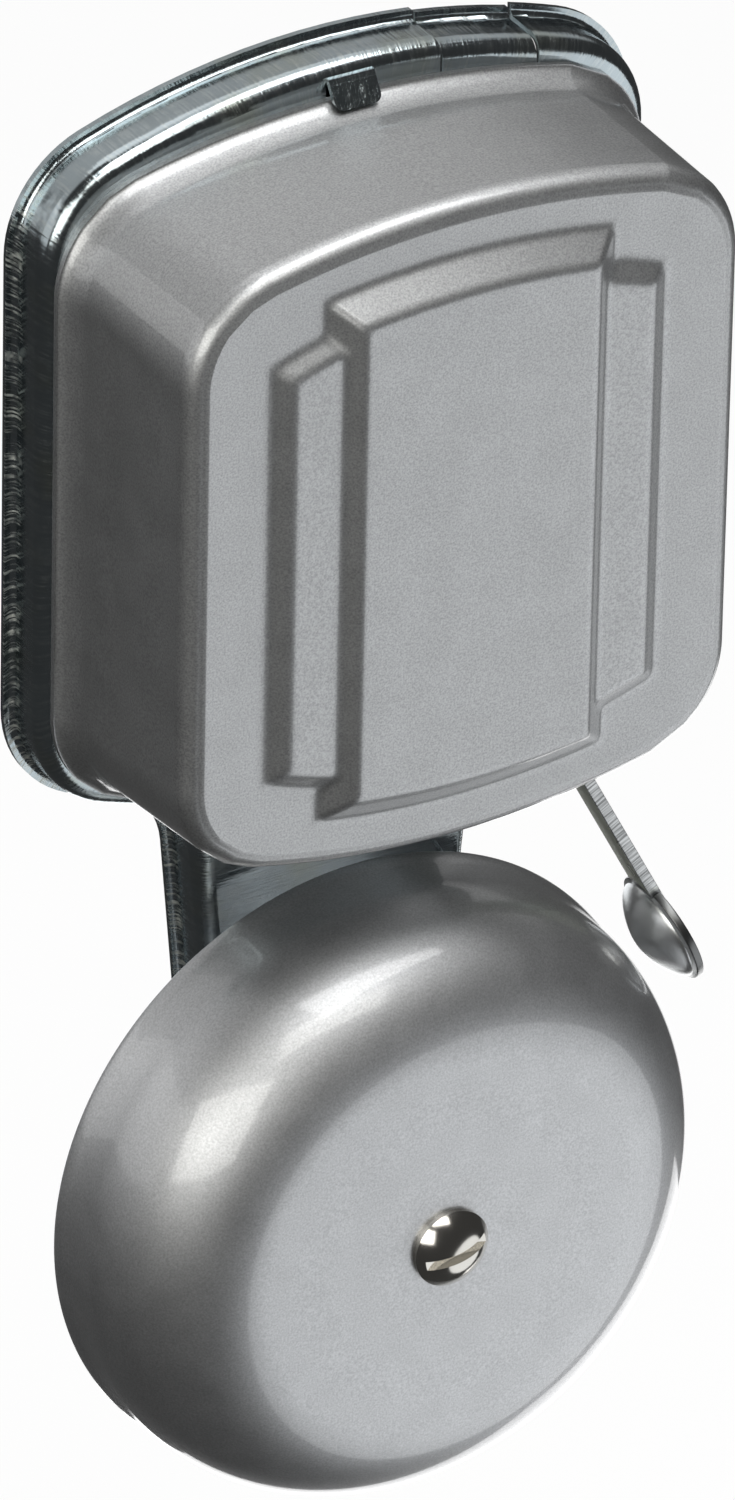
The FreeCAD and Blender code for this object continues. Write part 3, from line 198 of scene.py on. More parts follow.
class SpringSizes(bpy.types.PropertyGroup):
    """Sizes of the armature's leaf spring."""

    bend: length("Bend", "Outside radius of the bend", 0.00145)
    gap: length("Gap", "How far the leaf stays off what it lies on", 0.000005)
    step: length("Step", "Distance between two points of the leaf", 0.00025)
    flex_start: length("Flex start", "Height at which the leaf starts to bend", 0.0210)
    flex_end: length("Flex end", "Height below which the leaf follows the armature", 0.0196)
    sheet: length("Sheet", "Thickness of the leaf", 0.00025)
    screw: length("Screw hole", "Radius of the holes for the screws", 0.0015)
    rivet: length("Rivet hole", "Radius of the holes for the rivets", 0.0011)
    screw_head: length("Screw head", "Radius of the screws' heads", 0.0027)
    rivet_head: length("Rivet head", "Radius of the rivets' heads", 0.0019)


class Finishes(bpy.types.PropertyGroup):
    """Colours of the finishes."""

    paint: tint("Paint", "Silver paint of the cover", (0.385, 0.39, 0.393))
    gong_paint: tint("Gong paint", "Silver paint of the gong", (0.465, 0.47, 0.478))
    zinc: tint("Zinc", "Bright zinc plate of the base", (0.37, 0.42, 0.44))
    nickel: tint("Nickel", "Nickel plate of screws and hammer", (0.56, 0.54, 0.50))
    hammer: tint("Hammer plate", "Plate of the hammer's strip and striker", (0.56, 0.57, 0.57))
    iron: tint("Iron", "Bare magnet iron", (0.42, 0.41, 0.40))
    bronze: tint("Bronze", "Spring bronze", (0.66, 0.44, 0.24))
    brass: tint("Brass", "Brass of terminals and contact screw", (0.76, 0.58, 0.28))
    silver: tint("Silver", "Silver of the contact", (0.86, 0.85, 0.82))
    copper: tint("Copper", "Enamelled copper wire", (0.60, 0.22, 0.09))
    spool: tint("Spool", "Moulded plastic of the bobbins", (0.70, 0.66, 0.55))
    fibre: tint("Fibre", "Pressed fibre insulators", (0.30, 0.09, 0.05))
    phenolic: tint("Phenolic", "Terminal board", (0.16, 0.08, 0.04))
    rubber: tint("Rubber", "Grommet", (0.02, 0.02, 0.02))
    insulation: tint("Insulation", "Insulation of the leads", (0.05, 0.16, 0.07))


class StudioSettings(bpy.types.PropertyGroup):
    """Camera, floor and light."""

    target: bpy.props.FloatVectorProperty(
        name="Target", description="Point that the camera looks at", size=3, unit="LENGTH",
        default=(0.0011, -0.00893, -0.03259), subtype="TRANSLATION")
    distance: length("Distance", "From the camera to the target", 1.408)
    turn: angle("Turn", "How far round to the left the camera stands", 31.41)
    rise: angle("Rise", "How far up the camera stands", 30.25)
    roll: angle("Roll", "Roll of the camera", 1.178)
    lens: bpy.props.FloatProperty(name="Lens", description="Focal length, in millimetres",
                                  default=368.5, min=1.0)
    floor: length("Floor drop", "How far the floor lies below the object", 0.09)


# ---- grids and shells
def grid_quads(rows, columns, wrap_rows=False, wrap_columns=False):
    """Quads between neighbouring points of a grid kept row by row.

    wrap_columns joins the last column to the first, and wrap_rows the last row to the first."""
    index = np.arange(rows * columns).reshape(rows, columns)
    if wrap_columns:
        index = np.hstack([index, index[:, :1]])
    if wrap_rows:
        index = np.vstack([index, index[:1]])
    corners = (index[:-1, :-1], index[:-1, 1:], index[1:, 1:], index[1:, :-1])
    return np.stack(corners, axis=-1).reshape(-1, 4)


def point_normals(points, quads):
    """Mean normal of the quads round each point, each quad weighed by its area."""
    corner = points[quads]
    facing = np.cross(corner[:, 2] - corner[:, 0], corner[:, 3] - corner[:, 1])
    total = np.zeros_like(points)
    for side in range(4):
        np.add.at(total, quads[:, side], facing)
    return total / np.linalg.norm(total, axis=1, keepdims=True)


def thick_sheet(points, quads, thickness):
    """Closed sheet: the surface, its copy moved back along the normals, and the cut edges.

    A cut edge lies wherever an edge of a quad isn't shared with another quad. Points that no
    quad uses are left out."""
    used, quads = np.unique(quads, return_inverse=True)
    points, quads = points[used], quads.reshape(-1, 4)
    inner = points - point_normals(points, quads) * thickness
    count = len(points)
    ends = np.concatenate([quads[:, [side, (side + 1) % 4]] for side in range(4)])
    shared = np.isin(ends[:, 0] * count + ends[:, 1], ends[:, 1] * count + ends[:, 0])
    cut = ends[~shared]
    rim = np.stack([cut[:, 1], cut[:, 0], cut[:, 0] + count, cut[:, 1] + count], axis=-1)
    return np.vstack([points, inner]), np.vstack([quads, quads[:, ::-1] + count, rim])


def revolved(radius, height, origin, axis, turns):
    """Points of a profile turned about an axis: origin + axis * height + radius * spoke.

    The spoke turns once round the axis. Points are kept profile point by profile point."""
    axis = np.array(axis, float) / np.linalg.norm(axis)
    helper = np.array([0.0, 0.0, 1.0]) if abs(axis[2]) < 0.9 else np.array([1.0, 0.0, 0.0])
    first = np.cross(helper, axis)
    first /= np.linalg.norm(first)
    second = np.cross(axis, first)
    turn = np.linspace(0, 2 * np.pi, turns, endpoint=False)
    spoke = np.outer(np.cos(turn), first) + np.outer(np.sin(turn), second)
    points = (np.array(origin)[None, None] + np.asarray(height)[:, None, None] * axis
              + np.asarray(radius)[:, None, None] * spoke[None])
    return points.reshape(-1, 3)


def arc_points(centre, radius, start, end, count):
    """Points of a circle's arc in the plane, from one angle to another, both in degrees."""
    turn = np.radians(np.linspace(start, end, count))
    return np.stack([centre[0] + radius * np.cos(turn), centre[1] + radius * np.sin(turn)], -1)


def joined(*meshes):
    """Several (points, quads) pairs as one."""
    points, quads, start = [], [], 0
    for some_points, some_quads in meshes:
        points.append(some_points)
        quads.append(some_quads + start)
        start += len(some_points)
    return np.vstack(points), np.vstack(quads)


def new_piece(name, surface, material, body, replaced, crease=35):
    """Mesh object from (points, quads), dressed, on its body, standing for the nodes it replaces.

    A piece with no body is placed by its own operator."""
    points, quads = surface
    mesh = bpy.data.meshes.new(name)
    mesh.from_pydata(points.tolist(), [], quads.tolist())
    mesh.validate()
    mesh.shade_smooth()
    mesh.set_sharp_from_angle(angle=math.radians(crease))
    mesh.materials.append(material)
    piece = bpy.data.objects.new(name, mesh)
    bpy.context.scene.collection.objects.link(piece)
    if body:
        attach(piece, body)
    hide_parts(*replaced)
    return piece


def outwards(turn, rise):
    """Direction away from the object: from the front, turned to the right and then raised."""
    return Vector((math.sin(turn) * math.cos(rise), -math.cos(turn) * math.cos(rise),
                   math.sin(rise)))


# ---- cover
def quarter(half_width, half_height, crown, corner):
    """Tangent outline of one quarter: straight side, corner arc and crowned end.

    Returns the corner arc's centre, the X where it meets the crown arc, and its middle."""
    corner_x = half_width - corner
    reach = crown - corner
    corner_z = half_height - crown + np.sqrt(reach ** 2 - corner_x ** 2)
    end_x = corner_x * crown / reach
    turn = np.arctan2(corner_z - (half_height - crown), corner_x) / 2
    middle_x = corner_x + corner * np.cos(turn)
    middle_z = corner_z + corner * np.sin(turn)
    return corner_x, corner_z, end_x, middle_x, middle_z


def ends_z(x, half_width, half_height, crown, corner):
    """Height of the crowned end above X: the crown arc, and past its end the corner arc."""
    corner_x, corner_z, end_x, _, _ = quarter(half_width, half_height, crown, corner)
    arched = half_height - crown + np.sqrt(crown ** 2 - x ** 2)
    past = np.clip(np.abs(x) - corner_x, 0, corner)
    rounded = corner_z + np.sqrt(corner ** 2 - past ** 2)
    return np.where(np.abs(x) <= end_x, arched, rounded)


def sides_x(z, half_width, half_height, crown, corner):
    """Half width at height Z: the straight side, and past its end the corner arc."""
    corner_x, corner_z, _, _, _ = quarter(half_width, half_height, crown, corner)
    past = np.clip(np.abs(z) - corner_z, 0, corner)
    return corner_x + np.sqrt(corner ** 2 - past ** 2)


def cover_outline_sizes(sizes, offset, forward):
    """Half width, half height, crown and corner of the outline at an offset and a depth.

    The offset is outwards from the face's outline; forward is measured from the lip's back."""
    part = forward / sizes.depth
    wall_offset = sizes.draft * (1 - part)
    corner = sizes.corner * part + sizes.back_corner * (1 - part) + offset - wall_offset
    return (sizes.half_width + offset, sizes.half_height + offset, sizes.crown + offset, corner)


def cover_profile(sizes):
    """Section of the wall from the face's edge to the lip, as offset outwards and forward.

    A quarter bend, the drafted wall, a hollow flare and the flat lip. The flare is a quarter
    ellipse whose cosine and sine are raised to a power: 1 leaves it round, and 2 makes it
    straight. A narrow ring lies beside each bend, so that the wall stays flat up to it."""
    lean = math.atan(sizes.draft / sizes.depth)
    edge, narrow, power = sizes.edge, 0.00015, 1 + sizes.flare

    def on_wall(forward):
        return [sizes.draft * (1 - forward / sizes.depth), forward]

    centre = ((math.sin(lean) - 1) * edge / math.cos(lean), sizes.depth - edge)
    front = arc_points(centre, edge, 90, math.degrees(lean), 11)
    foot_start = on_wall(sizes.sheet + sizes.bend_rise)
    turn = np.radians(np.linspace(0, 90, 15))
    foot = np.stack([foot_start[0] + sizes.lip_bend * (1 - np.cos(turn) ** power),
                     foot_start[1] - sizes.bend_rise * np.sin(turn) ** power], axis=-1)
    rings = (front[-1][1] - narrow, 0.0155, sizes.notch_depth, 0.0078, 0.0052,
             foot_start[1] + narrow)
    wall = [on_wall(forward) for forward in rings]
    rim = [[sizes.draft + sizes.lip, sizes.sheet]]
    return np.vstack([front, wall, foot, rim])


def smooth_ramp(x, span):
    """Zero below zero and x above it, with a parabola over -span to span."""
    return np.where(x < -span, 0.0, np.where(x > span, x, (x + span) ** 2 / (4 * span)))


def smooth_least(a, b, span):
    """The lesser of two values, blended over span where they are nearly equal."""
    blend = np.clip(span - np.abs(a - b), 0, None)
    return np.minimum(a, b) - blend ** 2 / (4 * span)


def raised_panel(x, z, half_width, corner, radius, height, bevel, span):
    """Height of a raised panel: a ramp of the distance inside its straight and arched sides."""
    centre = corner - math.sqrt(radius ** 2 - half_width ** 2)
    inside = smooth_least(half_width - np.abs(x),
                          radius - np.hypot(x, np.abs(z) - centre), span)
    slope = height / bevel
    return slope * (smooth_ramp(inside, span) - smooth_ramp(inside - bevel, span))


def relief_height(x, z, relief):
    """Stepped relief of the face: the greater of the middle panel and the lower wings."""
    panel = raised_panel(x, z, relief.panel_width, relief.panel_corner, relief.panel_radius,
                         relief.panel_height, relief.panel_bevel, relief.bend)
    wings = raised_panel(x, z, relief.wing_width, relief.wing_corner, relief.wing_radius,
                         relief.wing_height, relief.wing_bevel, relief.bend)
    return -smooth_least(-panel, -wings, relief.bend)


def stations(limit, coarse, fine, first, last):
    """Places from -limit to limit, closely spaced between first and last on both sides."""
    close = np.arange(first, last, fine)
    middle = np.linspace(-first, first, 2 * int(first / coarse) + 1)
    outer = np.linspace(last, limit - fine, max(3, int((limit - last) / coarse) + 2))
    half = np.concatenate([close[1:], outer, [limit]])
    return np.concatenate([-half[::-1], middle, half])


def cover_surface(sizes, relief):
    """Outside of the cover as one grid of quads.

    The face is x = p * side(q), z = q * end(p) over p and q from -1 to 1, raised by the relief,
    with a fine grid where the relief's sides lie. The wall carries the section along the
    face's own boundary, so the two share their points."""
    coarse, fine = 0.1, 0.0002
    relief_x, relief_z = (0.0112, 0.0217), (0.0190, 0.0290)
    profile = cover_profile(sizes)
    flat = cover_outline_sizes(sizes, profile[0, 0], sizes.depth)
    middle_x, middle_z = quarter(*flat)[3:]
    columns = stations(1.0, coarse, fine / flat[0], relief_x[0] / flat[0], relief_x[1] / flat[0])
    rows = stations(1.0, coarse, fine / flat[1], relief_z[0] / flat[1], relief_z[1] / flat[1])
    for notch_x in (sizes.notch_left, sizes.notch_right):
        columns[np.argmin(np.abs(columns - notch_x / middle_x))] = notch_x / middle_x
    p, q = np.meshgrid(columns, rows)
    x = p * sides_x(q * middle_z, *flat)
    z = q * ends_z(p * middle_x, *flat)
    y = -(sizes.seat + sizes.depth + relief_height(x, z, relief))
    face = np.stack([x, y, z + sizes.rise], axis=-1)
    count_z, count_x = p.shape
    index = np.arange(count_z * count_x).reshape(count_z, count_x)
    loop = np.concatenate([index[0, :-1], index[:-1, -1], index[-1, :0:-1], index[:0:-1, 0]])
    loop_p, loop_q = p.ravel()[loop], q.ravel()[loop]
    rings = []
    for offset, forward in profile[1:]:
        outline = cover_outline_sizes(sizes, offset, forward)
        ring_x, ring_z = quarter(*outline)[3:]
        part = forward / sizes.depth
        middle = sizes.rise * part - sizes.drop * (1 - part)
        rings.append(np.stack([loop_p * sides_x(loop_q * ring_z, *outline),
                               np.full(len(loop), -(sizes.seat + forward)),
                               loop_q * ends_z(loop_p * ring_x, *outline) + middle], axis=-1))
    points = np.vstack([face.reshape(-1, 3)] + rings)
    ring_index = np.concatenate([loop, np.arange(index.size, len(points))])
    wall = ring_index[grid_quads(len(profile), len(loop), wrap_columns=True)[:, [0, 3, 2, 1]]]
    middle = points[wall].mean(axis=1)
    in_notch = ((middle[:, 0] > sizes.notch_left) & (middle[:, 0] < sizes.notch_right)
                & (middle[:, 2] < 0) & (middle[:, 1] > -(sizes.seat + sizes.notch_depth)))
    return points, np.vstack([grid_quads(count_z, count_x), wall[~in_notch]])


# ---- gong
def gong_section(sizes, shrink):
    """Meridian from the skirt's foot to the hole: taper, shoulder arc and crown arc."""
    lean = sizes.taper
    normal = np.array([math.cos(lean), math.sin(lean)])
    along = np.array([-normal[1], normal[0]])
    skirt = np.array([sizes.radius - sizes.lip_width, sizes.lip_height])
    reach = skirt @ normal - sizes.shoulder
    crown_centre = np.array([0.0, sizes.height - sizes.crown])
    start = normal * reach - crown_centre
    half = start @ along
    span = sizes.crown - sizes.shoulder
    slide = -half + math.sqrt(half ** 2 - start @ start + span ** 2)
    centre = normal * reach + along * slide
    toward = centre - crown_centre
    end_angle = math.degrees(math.atan2(toward[1], toward[0]))
    shoulder = arc_points(centre, sizes.shoulder - shrink, math.degrees(lean), end_angle, 40)
    crown_x = np.linspace(shoulder[-1, 0], sizes.hole, 16)[1:]
    crown_z = crown_centre[1] + np.sqrt((sizes.crown - shrink) ** 2 - crown_x ** 2)
    return np.vstack([skirt - normal * shrink, shoulder, np.stack([crown_x, crown_z], -1)])


def gong_surface(sizes):
    """Closed gong: its outer and inner meridians joined at the hole and round the rim."""
    outer = gong_section(sizes, 0.0)
    inner = gong_section(sizes, sizes.sheet)
    rim, outside, inside = sizes.rim, sizes.radius, sizes.radius - sizes.sheet
    edge = np.vstack([arc_points((inside + rim, rim), rim, 180, 270, 5),
                      arc_points((outside - rim, rim), rim, 270, 360, 5),
                      [[outside, sizes.lip_height * 0.4]],
                      [[outside - sizes.lip_width * 0.5, sizes.lip_height * 0.75]]])
    section = np.vstack([edge, outer, inner[::-1]])
    origin = (0, -sizes.rim_depth, -sizes.drop)
    turns = 224
    points = revolved(section[:, 0], section[:, 1], origin, (0, -1, 0), turns)
    return points, grid_quads(len(section), turns, wrap_rows=True, wrap_columns=True)


# ---- hammer
def strip_surface(path, across, sheet, width, rounding):
    """Flat strip: a rounded rectangle carried along a path in the XZ plane.

    path gives the middle line, across its unit side vectors; the ends are closed flat."""
    half, side = sheet / 2 - rounding, width / 2 - rounding
    corners = [(half, side, 0), (-half, side, 90), (-half, -side, 180), (half, -side, 270)]
    section = np.vstack([arc_points((a, b), rounding, start, start + 90, 4)
                         for a, b, start in corners])
    points = (path[:, None] + across[:, None] * section[None, :, :1]
              + Y_AXIS * section[None, :, 1:])
    rows, columns = points.shape[:2]
    quads = grid_quads(rows, columns, wrap_columns=True)
    caps = []
    for row, order in ((0, 1), (rows - 1, -1)):
        ring = row * columns + np.arange(columns)
        half_ring = columns // 2
        left, right = ring[:half_ring], ring[half_ring:][::-1]
        cap = np.stack([left[:-1], left[1:], right[1:], right[:-1]], axis=-1)
        caps.append(cap[:, ::order])
    return points.reshape(-1, 3), np.vstack([quads[:, ::-1]] + caps)


def striker_surface(sizes, centre, toward):
    """Striker: a flat disc with a pressed bowl, turned about the bowl's axis.

    The bowl's meridian is (r / R) ** n + (h / H) ** n = 1 with n = 1.5; its hollow follows it."""
    half, thin, rounding = sizes.sheet / 2, sizes.disc_edge / 2, sizes.disc_round
    turns, pole = 72, 0.00002
    turn = np.linspace(0, np.pi / 2, 28)
    power = 2 / 1.5
    bowl_r = sizes.bowl * np.cos(turn) ** power
    bowl_h = half + sizes.bowl_height * np.sin(turn) ** power
    hollow_r = sizes.bowl * sizes.hollow * np.cos(turn) ** power
    hollow_h = -half + (sizes.bowl_height + sizes.thinning) * np.sin(turn) ** power
    edge = np.vstack([arc_points((sizes.disc - rounding, thin - rounding), rounding, 90, 0, 5),
                      arc_points((sizes.disc - rounding, rounding - thin), rounding, 0, -90, 5)])
    bowl_r[-1] = hollow_r[-1] = pole
    section = np.vstack([np.stack([bowl_r, bowl_h], -1)[::-1], edge,
                         np.stack([hollow_r, hollow_h], -1)])
    points = revolved(section[:, 0], section[:, 1], centre, toward, turns)
    return points, grid_quads(len(section), turns, wrap_rows=True, wrap_columns=True)[:, ::-1]


def hammer_surface(sizes, gong_drop):
    """Strip and striker of the hammer, from the rivets to the disc."""
    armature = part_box("armature")[1]
    lean, tilt = sizes.lean, sizes.arm_lean
    centre = np.array([sizes.x, -sizes.depth, sizes.height - gong_drop])
    down = np.array([math.sin(lean), 0, -math.cos(lean)])
    toward = np.array([-math.cos(lean), 0, -math.sin(lean)])
    end = centre - down * (sizes.disc - sizes.root)
    middle_x = armature.x + sizes.sheet / 2
    bend_z = end[2] + (end[0] - middle_x) / math.tan(tilt)
    bend = np.array([middle_x, -sizes.depth, bend_z])
    run = np.array([math.sin(tilt), 0, -math.cos(tilt)])
    sweep = np.linspace(0, tilt, 10)
    knee_centre = bend + sizes.knee * np.array([1, 0, math.tan(tilt / 2)])
    knee = knee_centre + sizes.knee * np.stack([-np.cos(sweep), 0 * sweep, -np.sin(sweep)], -1)
    top = np.array([[middle_x, -sizes.depth, -sizes.top]])
    path = np.vstack([top, knee, [end + run * sizes.tip]])
    turn = np.concatenate([[0], sweep, [tilt]])
    across = np.stack([np.cos(turn), 0 * turn, np.sin(turn)], -1)
    strip = strip_surface(path, across, sizes.sheet, sizes.width, sizes.strip_round)
    return joined(strip, striker_surface(sizes, centre, toward))


# ---- winding
def winding_surface(node, sizes):
    """Wound coil: a spool radius with a ripple for each turn of wire, shifted by one turn
    of the wire in each turn of the coil, so that the wire runs as a helix.

    A ring of the bore's radius lies at each end, and the last ring joins the first."""
    low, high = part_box(node)
    axis_y, axis_z = (low.y + high.y) / 2, (low.z + high.z) / 2
    radius = (high.z - low.z) / 2
    columns, steps = 72, 5
    x = np.linspace(low.x, high.x, int((high.x - low.x) / sizes.pitch * steps))
    turn = np.linspace(0, 2 * np.pi, columns, endpoint=False)
    phase = np.pi * (x[:, None] / sizes.pitch - turn[None] / (2 * np.pi))
    ripple = sizes.pitch * sizes.groove * (np.abs(np.cos(phase)) ** 0.8 - 1)
    bore = np.full((1, columns), radius * sizes.bore)
    reach = np.vstack([bore, radius + ripple, bore])
    x = np.concatenate([x[:1], x, x[-1:]])
    points = np.stack([np.broadcast_to(x[:, None], reach.shape), axis_y + reach * np.cos(turn),
                       axis_z + reach * np.sin(turn)], axis=-1)
    return points.reshape(-1, 3), grid_quads(len(x), columns, wrap_rows=True, wrap_columns=True)


# ---- spring
def pair_middles(node, along, radius):
    """Middles of the two round heads of a node, which lie at the ends of its box."""
    low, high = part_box(node)
    return low[along] + radius, high[along] - radius


def spring_surface(sizes):
    """Leaf: an angle's line, a quarter circle between two straights, carried across.

    Points that lie inside a hole are moved out to its edge, straight away from its middle,
    and the quads with all four corners inside it are left out."""
    low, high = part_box("hinge_spring")
    right, top = high.x - sizes.gap, high.z - sizes.gap
    foot = np.arange(low.x, right - sizes.bend, sizes.step)
    leg = np.arange(top - sizes.bend, low.z, -sizes.step)[1:]
    arc = arc_points((right - sizes.bend, top - sizes.bend), sizes.bend, 90, 0, 17)
    line = np.vstack([np.stack([foot, np.full(len(foot), top)], -1), arc,
                      np.stack([np.full(len(leg), right), leg], -1)])
    across = np.linspace(high.y, low.y, round((high.y - low.y) / sizes.step) + 1)
    points = (np.insert(line, 1, 0.0, axis=1)[:, None] + Y_AXIS * across[:, None]).reshape(-1, 3)
    middle_y = (low.y + high.y) / 2
    rivet_low, rivet_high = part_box("armature_rivets")
    rivet_z = (rivet_low.z + rivet_high.z) / 2
    holes = [((x, middle_y, top), sizes.screw)
             for x in pair_middles("spring_screws", 0, sizes.screw_head)]
    holes += [((right, y, rivet_z), sizes.rivet)
              for y in pair_middles("armature_rivets", 1, sizes.rivet_head)]
    inside = np.zeros(len(points), bool)
    for middle, radius in holes:
        away = points - np.array(middle)
        reach = np.linalg.norm(away, axis=1)
        held = reach < radius
        inside |= held
        out = np.array(middle) + away * (radius / np.maximum(reach, 1e-9))[:, None]
        points = np.where(held[:, None], out, points)
    quads = grid_quads(len(line), len(across))
    return points, quads[~inside[quads].all(axis=1)]


# ---- finishes
class Nodes:
    """Short calls for building the nodes of a material or of a world."""

    def __init__(self, owner, coords="Object"):
        owner.use_nodes = True
        self.owner, self.tree = owner, owner.node_tree
        nodes = self.tree.nodes
        self.shader = nodes.get("Principled BSDF") or nodes["Background"]
        self.output = nodes.get("Material Output") or nodes["World Output"]
        self.coords = self.add("ShaderNodeTexCoord").outputs[coords]

    def put(self, value, end):
        """Link an output to an input, or set the input where the value is a number or colour."""
        if isinstance(value, bpy.types.NodeSocket):
            self.tree.links.new(value, end)
        else:
            end.default_value = value

    def add(self, kind, *values, **settings):
        """New node; values fill its inputs in order, and settings its properties and inputs."""
        node = self.tree.nodes.new(kind)
        for key, value in settings.items():
            name = key.replace("_", " ")
            if name in node.inputs:
                self.put(value, node.inputs[name])
            else:
                setattr(node, key, value)
        for end, value in zip(node.inputs, values):
            self.put(value, end)
        return node

    def feed(self, **values):
        """Fill the shader's inputs."""
        for key, value in values.items():
            self.put(value, self.shader.inputs[key.replace("_", " ")])

    def show(self, mask, first, second):
        """Send the first shader to the output, and the second where the mask is 1."""
        mix = self.add("ShaderNodeMixShader", mask, first.outputs[0], second.outputs[0])
        self.put(mix.outputs[0], self.output.inputs["Surface"])

    def maths(self, operation, *values):
        """Result of a Math node."""
        return self.add("ShaderNodeMath", *values, operation=operation).outputs[0]

    def axes(self):
        """The three coordinates."""
        return self.add("ShaderNodeSeparateXYZ", self.coords).outputs

    def noise(self, scale, detail=2.0, stretch=(1, 1, 1), coords=None):
        """Noise, drawn out along an axis where the stretch is less than 1."""
        mapping = self.add("ShaderNodeMapping", Vector=coords or self.coords, Scale=stretch)
        return self.add("ShaderNodeTexNoise", Vector=mapping.outputs[0], Scale=scale,
                        Detail=detail).outputs["Fac"]

    def spread(self, source, low, high, start=0.0, end=1.0, **settings):
        """Value from low to high as the source goes from start to end."""
        return self.add("ShaderNodeMapRange", Value=source, From_Min=start, From_Max=end,
                        To_Min=low, To_Max=high, **settings).outputs["Result"]

    def mask(self, source, start, end):
        """0 up to the start, and 1 from the end on."""
        return self.spread(source, 0.0, 1.0, start, end)

    def about(self, source, middle, stray):
        """Value that a noise makes stray from the middle."""
        return self.spread(source, middle - stray, middle + stray, 0.3, 0.7)

    def ramp(self, source, stops):
        """Colour from (position, colour) stops."""
        ramp = self.add("ShaderNodeValToRGB", Fac=source)
        elements = ramp.color_ramp.elements
        while len(elements) < len(stops):
            elements.new(0.5)
        for element, (position, colour) in zip(elements, stops):
            element.position = position
            element.color = (*colour, 1.0)
        return ramp.outputs["Color"]

    def tones(self, source, first, second):
        """Colour that a noise moves from the first to the second."""
        return self.ramp(source, [(0.30, first), (0.70, second)])

    def mixed(self, mask, first, second):
        """The first colour, and the second where the mask is 1."""
        mix = self.add("ShaderNodeMix", data_type="RGBA")
        for place, value in ((0, mask), (6, first), (7, second)):
            self.put(value, mix.inputs[place])
        return mix.outputs[2]

    def bump(self, source, distance, strength=1.0, below=None):
        """Relief from a height, on top of the relief below."""
        bump = self.add("ShaderNodeBump", Height=source, Strength=strength, Distance=distance)
        if below is not None:
            self.put(below, bump.inputs["Normal"])
        return bump.outputs["Normal"]


def shades(colour, *factors):
    """The colour times each factor."""
    return [tuple(min(1.0, channel * factor) for channel in colour) for factor in factors]


def silver_paint(name, colour, roughness, grain):
    """Sprayed aluminium paint: fine flakes that catch the light one by one, slight mottling."""
    nodes = Nodes(bpy.data.materials.new(name))
    flake = nodes.noise(5200)
    mottle = nodes.noise(300, detail=3.0)
    nodes.feed(Base_Color=nodes.tones(flake, *shades(colour, 1 - grain, 1 + grain)),
               Roughness=nodes.about(mottle, roughness, 0.02),
               Normal=nodes.bump(flake, 0.000012, 0.5), Metallic=1.0, Coat_Weight=0.9,
               Coat_Roughness=0.08)
    return nodes.owner


def plated(name, colour, roughness, draw=(1, 1, 1), grain=2500, depth=0.000003):
    """Plated metal: faint draw marks, clouding of the polish and a thin variation of colour."""
    nodes = Nodes(bpy.data.materials.new(name))
    marks = nodes.noise(grain, detail=3.0, stretch=draw)
    clouds = nodes.noise(90, detail=3.0)
    nodes.feed(Base_Color=nodes.tones(clouds, *shades(colour, 0.90, 1.06)),
               Roughness=nodes.about(clouds, roughness, 0.03),
               Normal=nodes.bump(marks, depth), Metallic=1.0)
    return nodes.owner


def drawn_zinc(name, colour):
    """Zinc on drawn steel: marks across the rim, slow waves that break the highlights, a play
    of colour from bluish to olive, and dents on the hook.

    The marks are packed by the angle round the pan, and by height along the neck. They are
    strong on the low part of the pan's wall, beside and below, and faint elsewhere."""
    pan_reach, neck_top = 0.034, -0.036
    wall_front, wall_full, wall_back = -0.0019, -0.0014, -0.0004
    hook_back, hook_low = -0.0064, 0.030
    bare = (0.66, 0.68, 0.64, 1.0)
    nodes = Nodes(bpy.data.materials.new(name))
    maths = nodes.maths
    x, y, z = nodes.axes()
    along = nodes.add("ShaderNodeMix", maths("LESS_THAN", z, neck_top))
    nodes.put(maths("MULTIPLY", maths("ARCTAN2", x, z), pan_reach), along.inputs[2])
    nodes.put(z, along.inputs[3])
    across = maths("ADD", maths("ABSOLUTE", x), maths("ABSOLUTE", z))
    packed = nodes.add("ShaderNodeCombineXYZ", along.outputs[0], across, y).outputs[0]
    marks = nodes.noise(4600, stretch=(1, 0.05, 0.05), coords=packed)
    ragged = nodes.spread(nodes.noise(1300), 0.35, 1.0, 0.40, 0.60)
    low_wall = maths("MULTIPLY", nodes.mask(y, wall_front, wall_full),
                     maths("LESS_THAN", y, wall_back))
    above = maths("SUBTRACT", z, maths("ABSOLUTE", x))
    low_wall = maths("MULTIPLY", low_wall, nodes.spread(above, 1.0, 0.0, -0.008, 0.004))
    scored = maths("MULTIPLY", nodes.mask(marks, 0.47, 0.60),
                   maths("MULTIPLY_ADD", low_wall, 0.82, 0.18))
    scored = maths("MULTIPLY", scored, ragged)
    hook = maths("MULTIPLY", maths("LESS_THAN", y, hook_back), maths("GREATER_THAN", z, hook_low))
    dents = maths("MULTIPLY", nodes.noise(1100, detail=3.0), hook)
    clouds = nodes.noise(160, detail=3.0)
    plain, dull = shades(colour, 1.0, 0.88)
    olive = (dull[0], dull[1] * 0.97, dull[2] * 0.86)
    tone = nodes.ramp(clouds, [(0.36, plain), (0.55, dull), (0.72, olive)])
    relief = nodes.bump(marks, 0.000024)
    relief = nodes.bump(nodes.noise(330), 0.00006, below=relief)
    nodes.feed(Base_Color=nodes.mixed(scored, tone, bare),
               Roughness=maths("MULTIPLY_ADD", scored, 0.42, nodes.about(clouds, 0.16, 0.04)),
               Normal=nodes.bump(dents, 0.00012, below=relief), Metallic=1.0)
    return nodes.owner


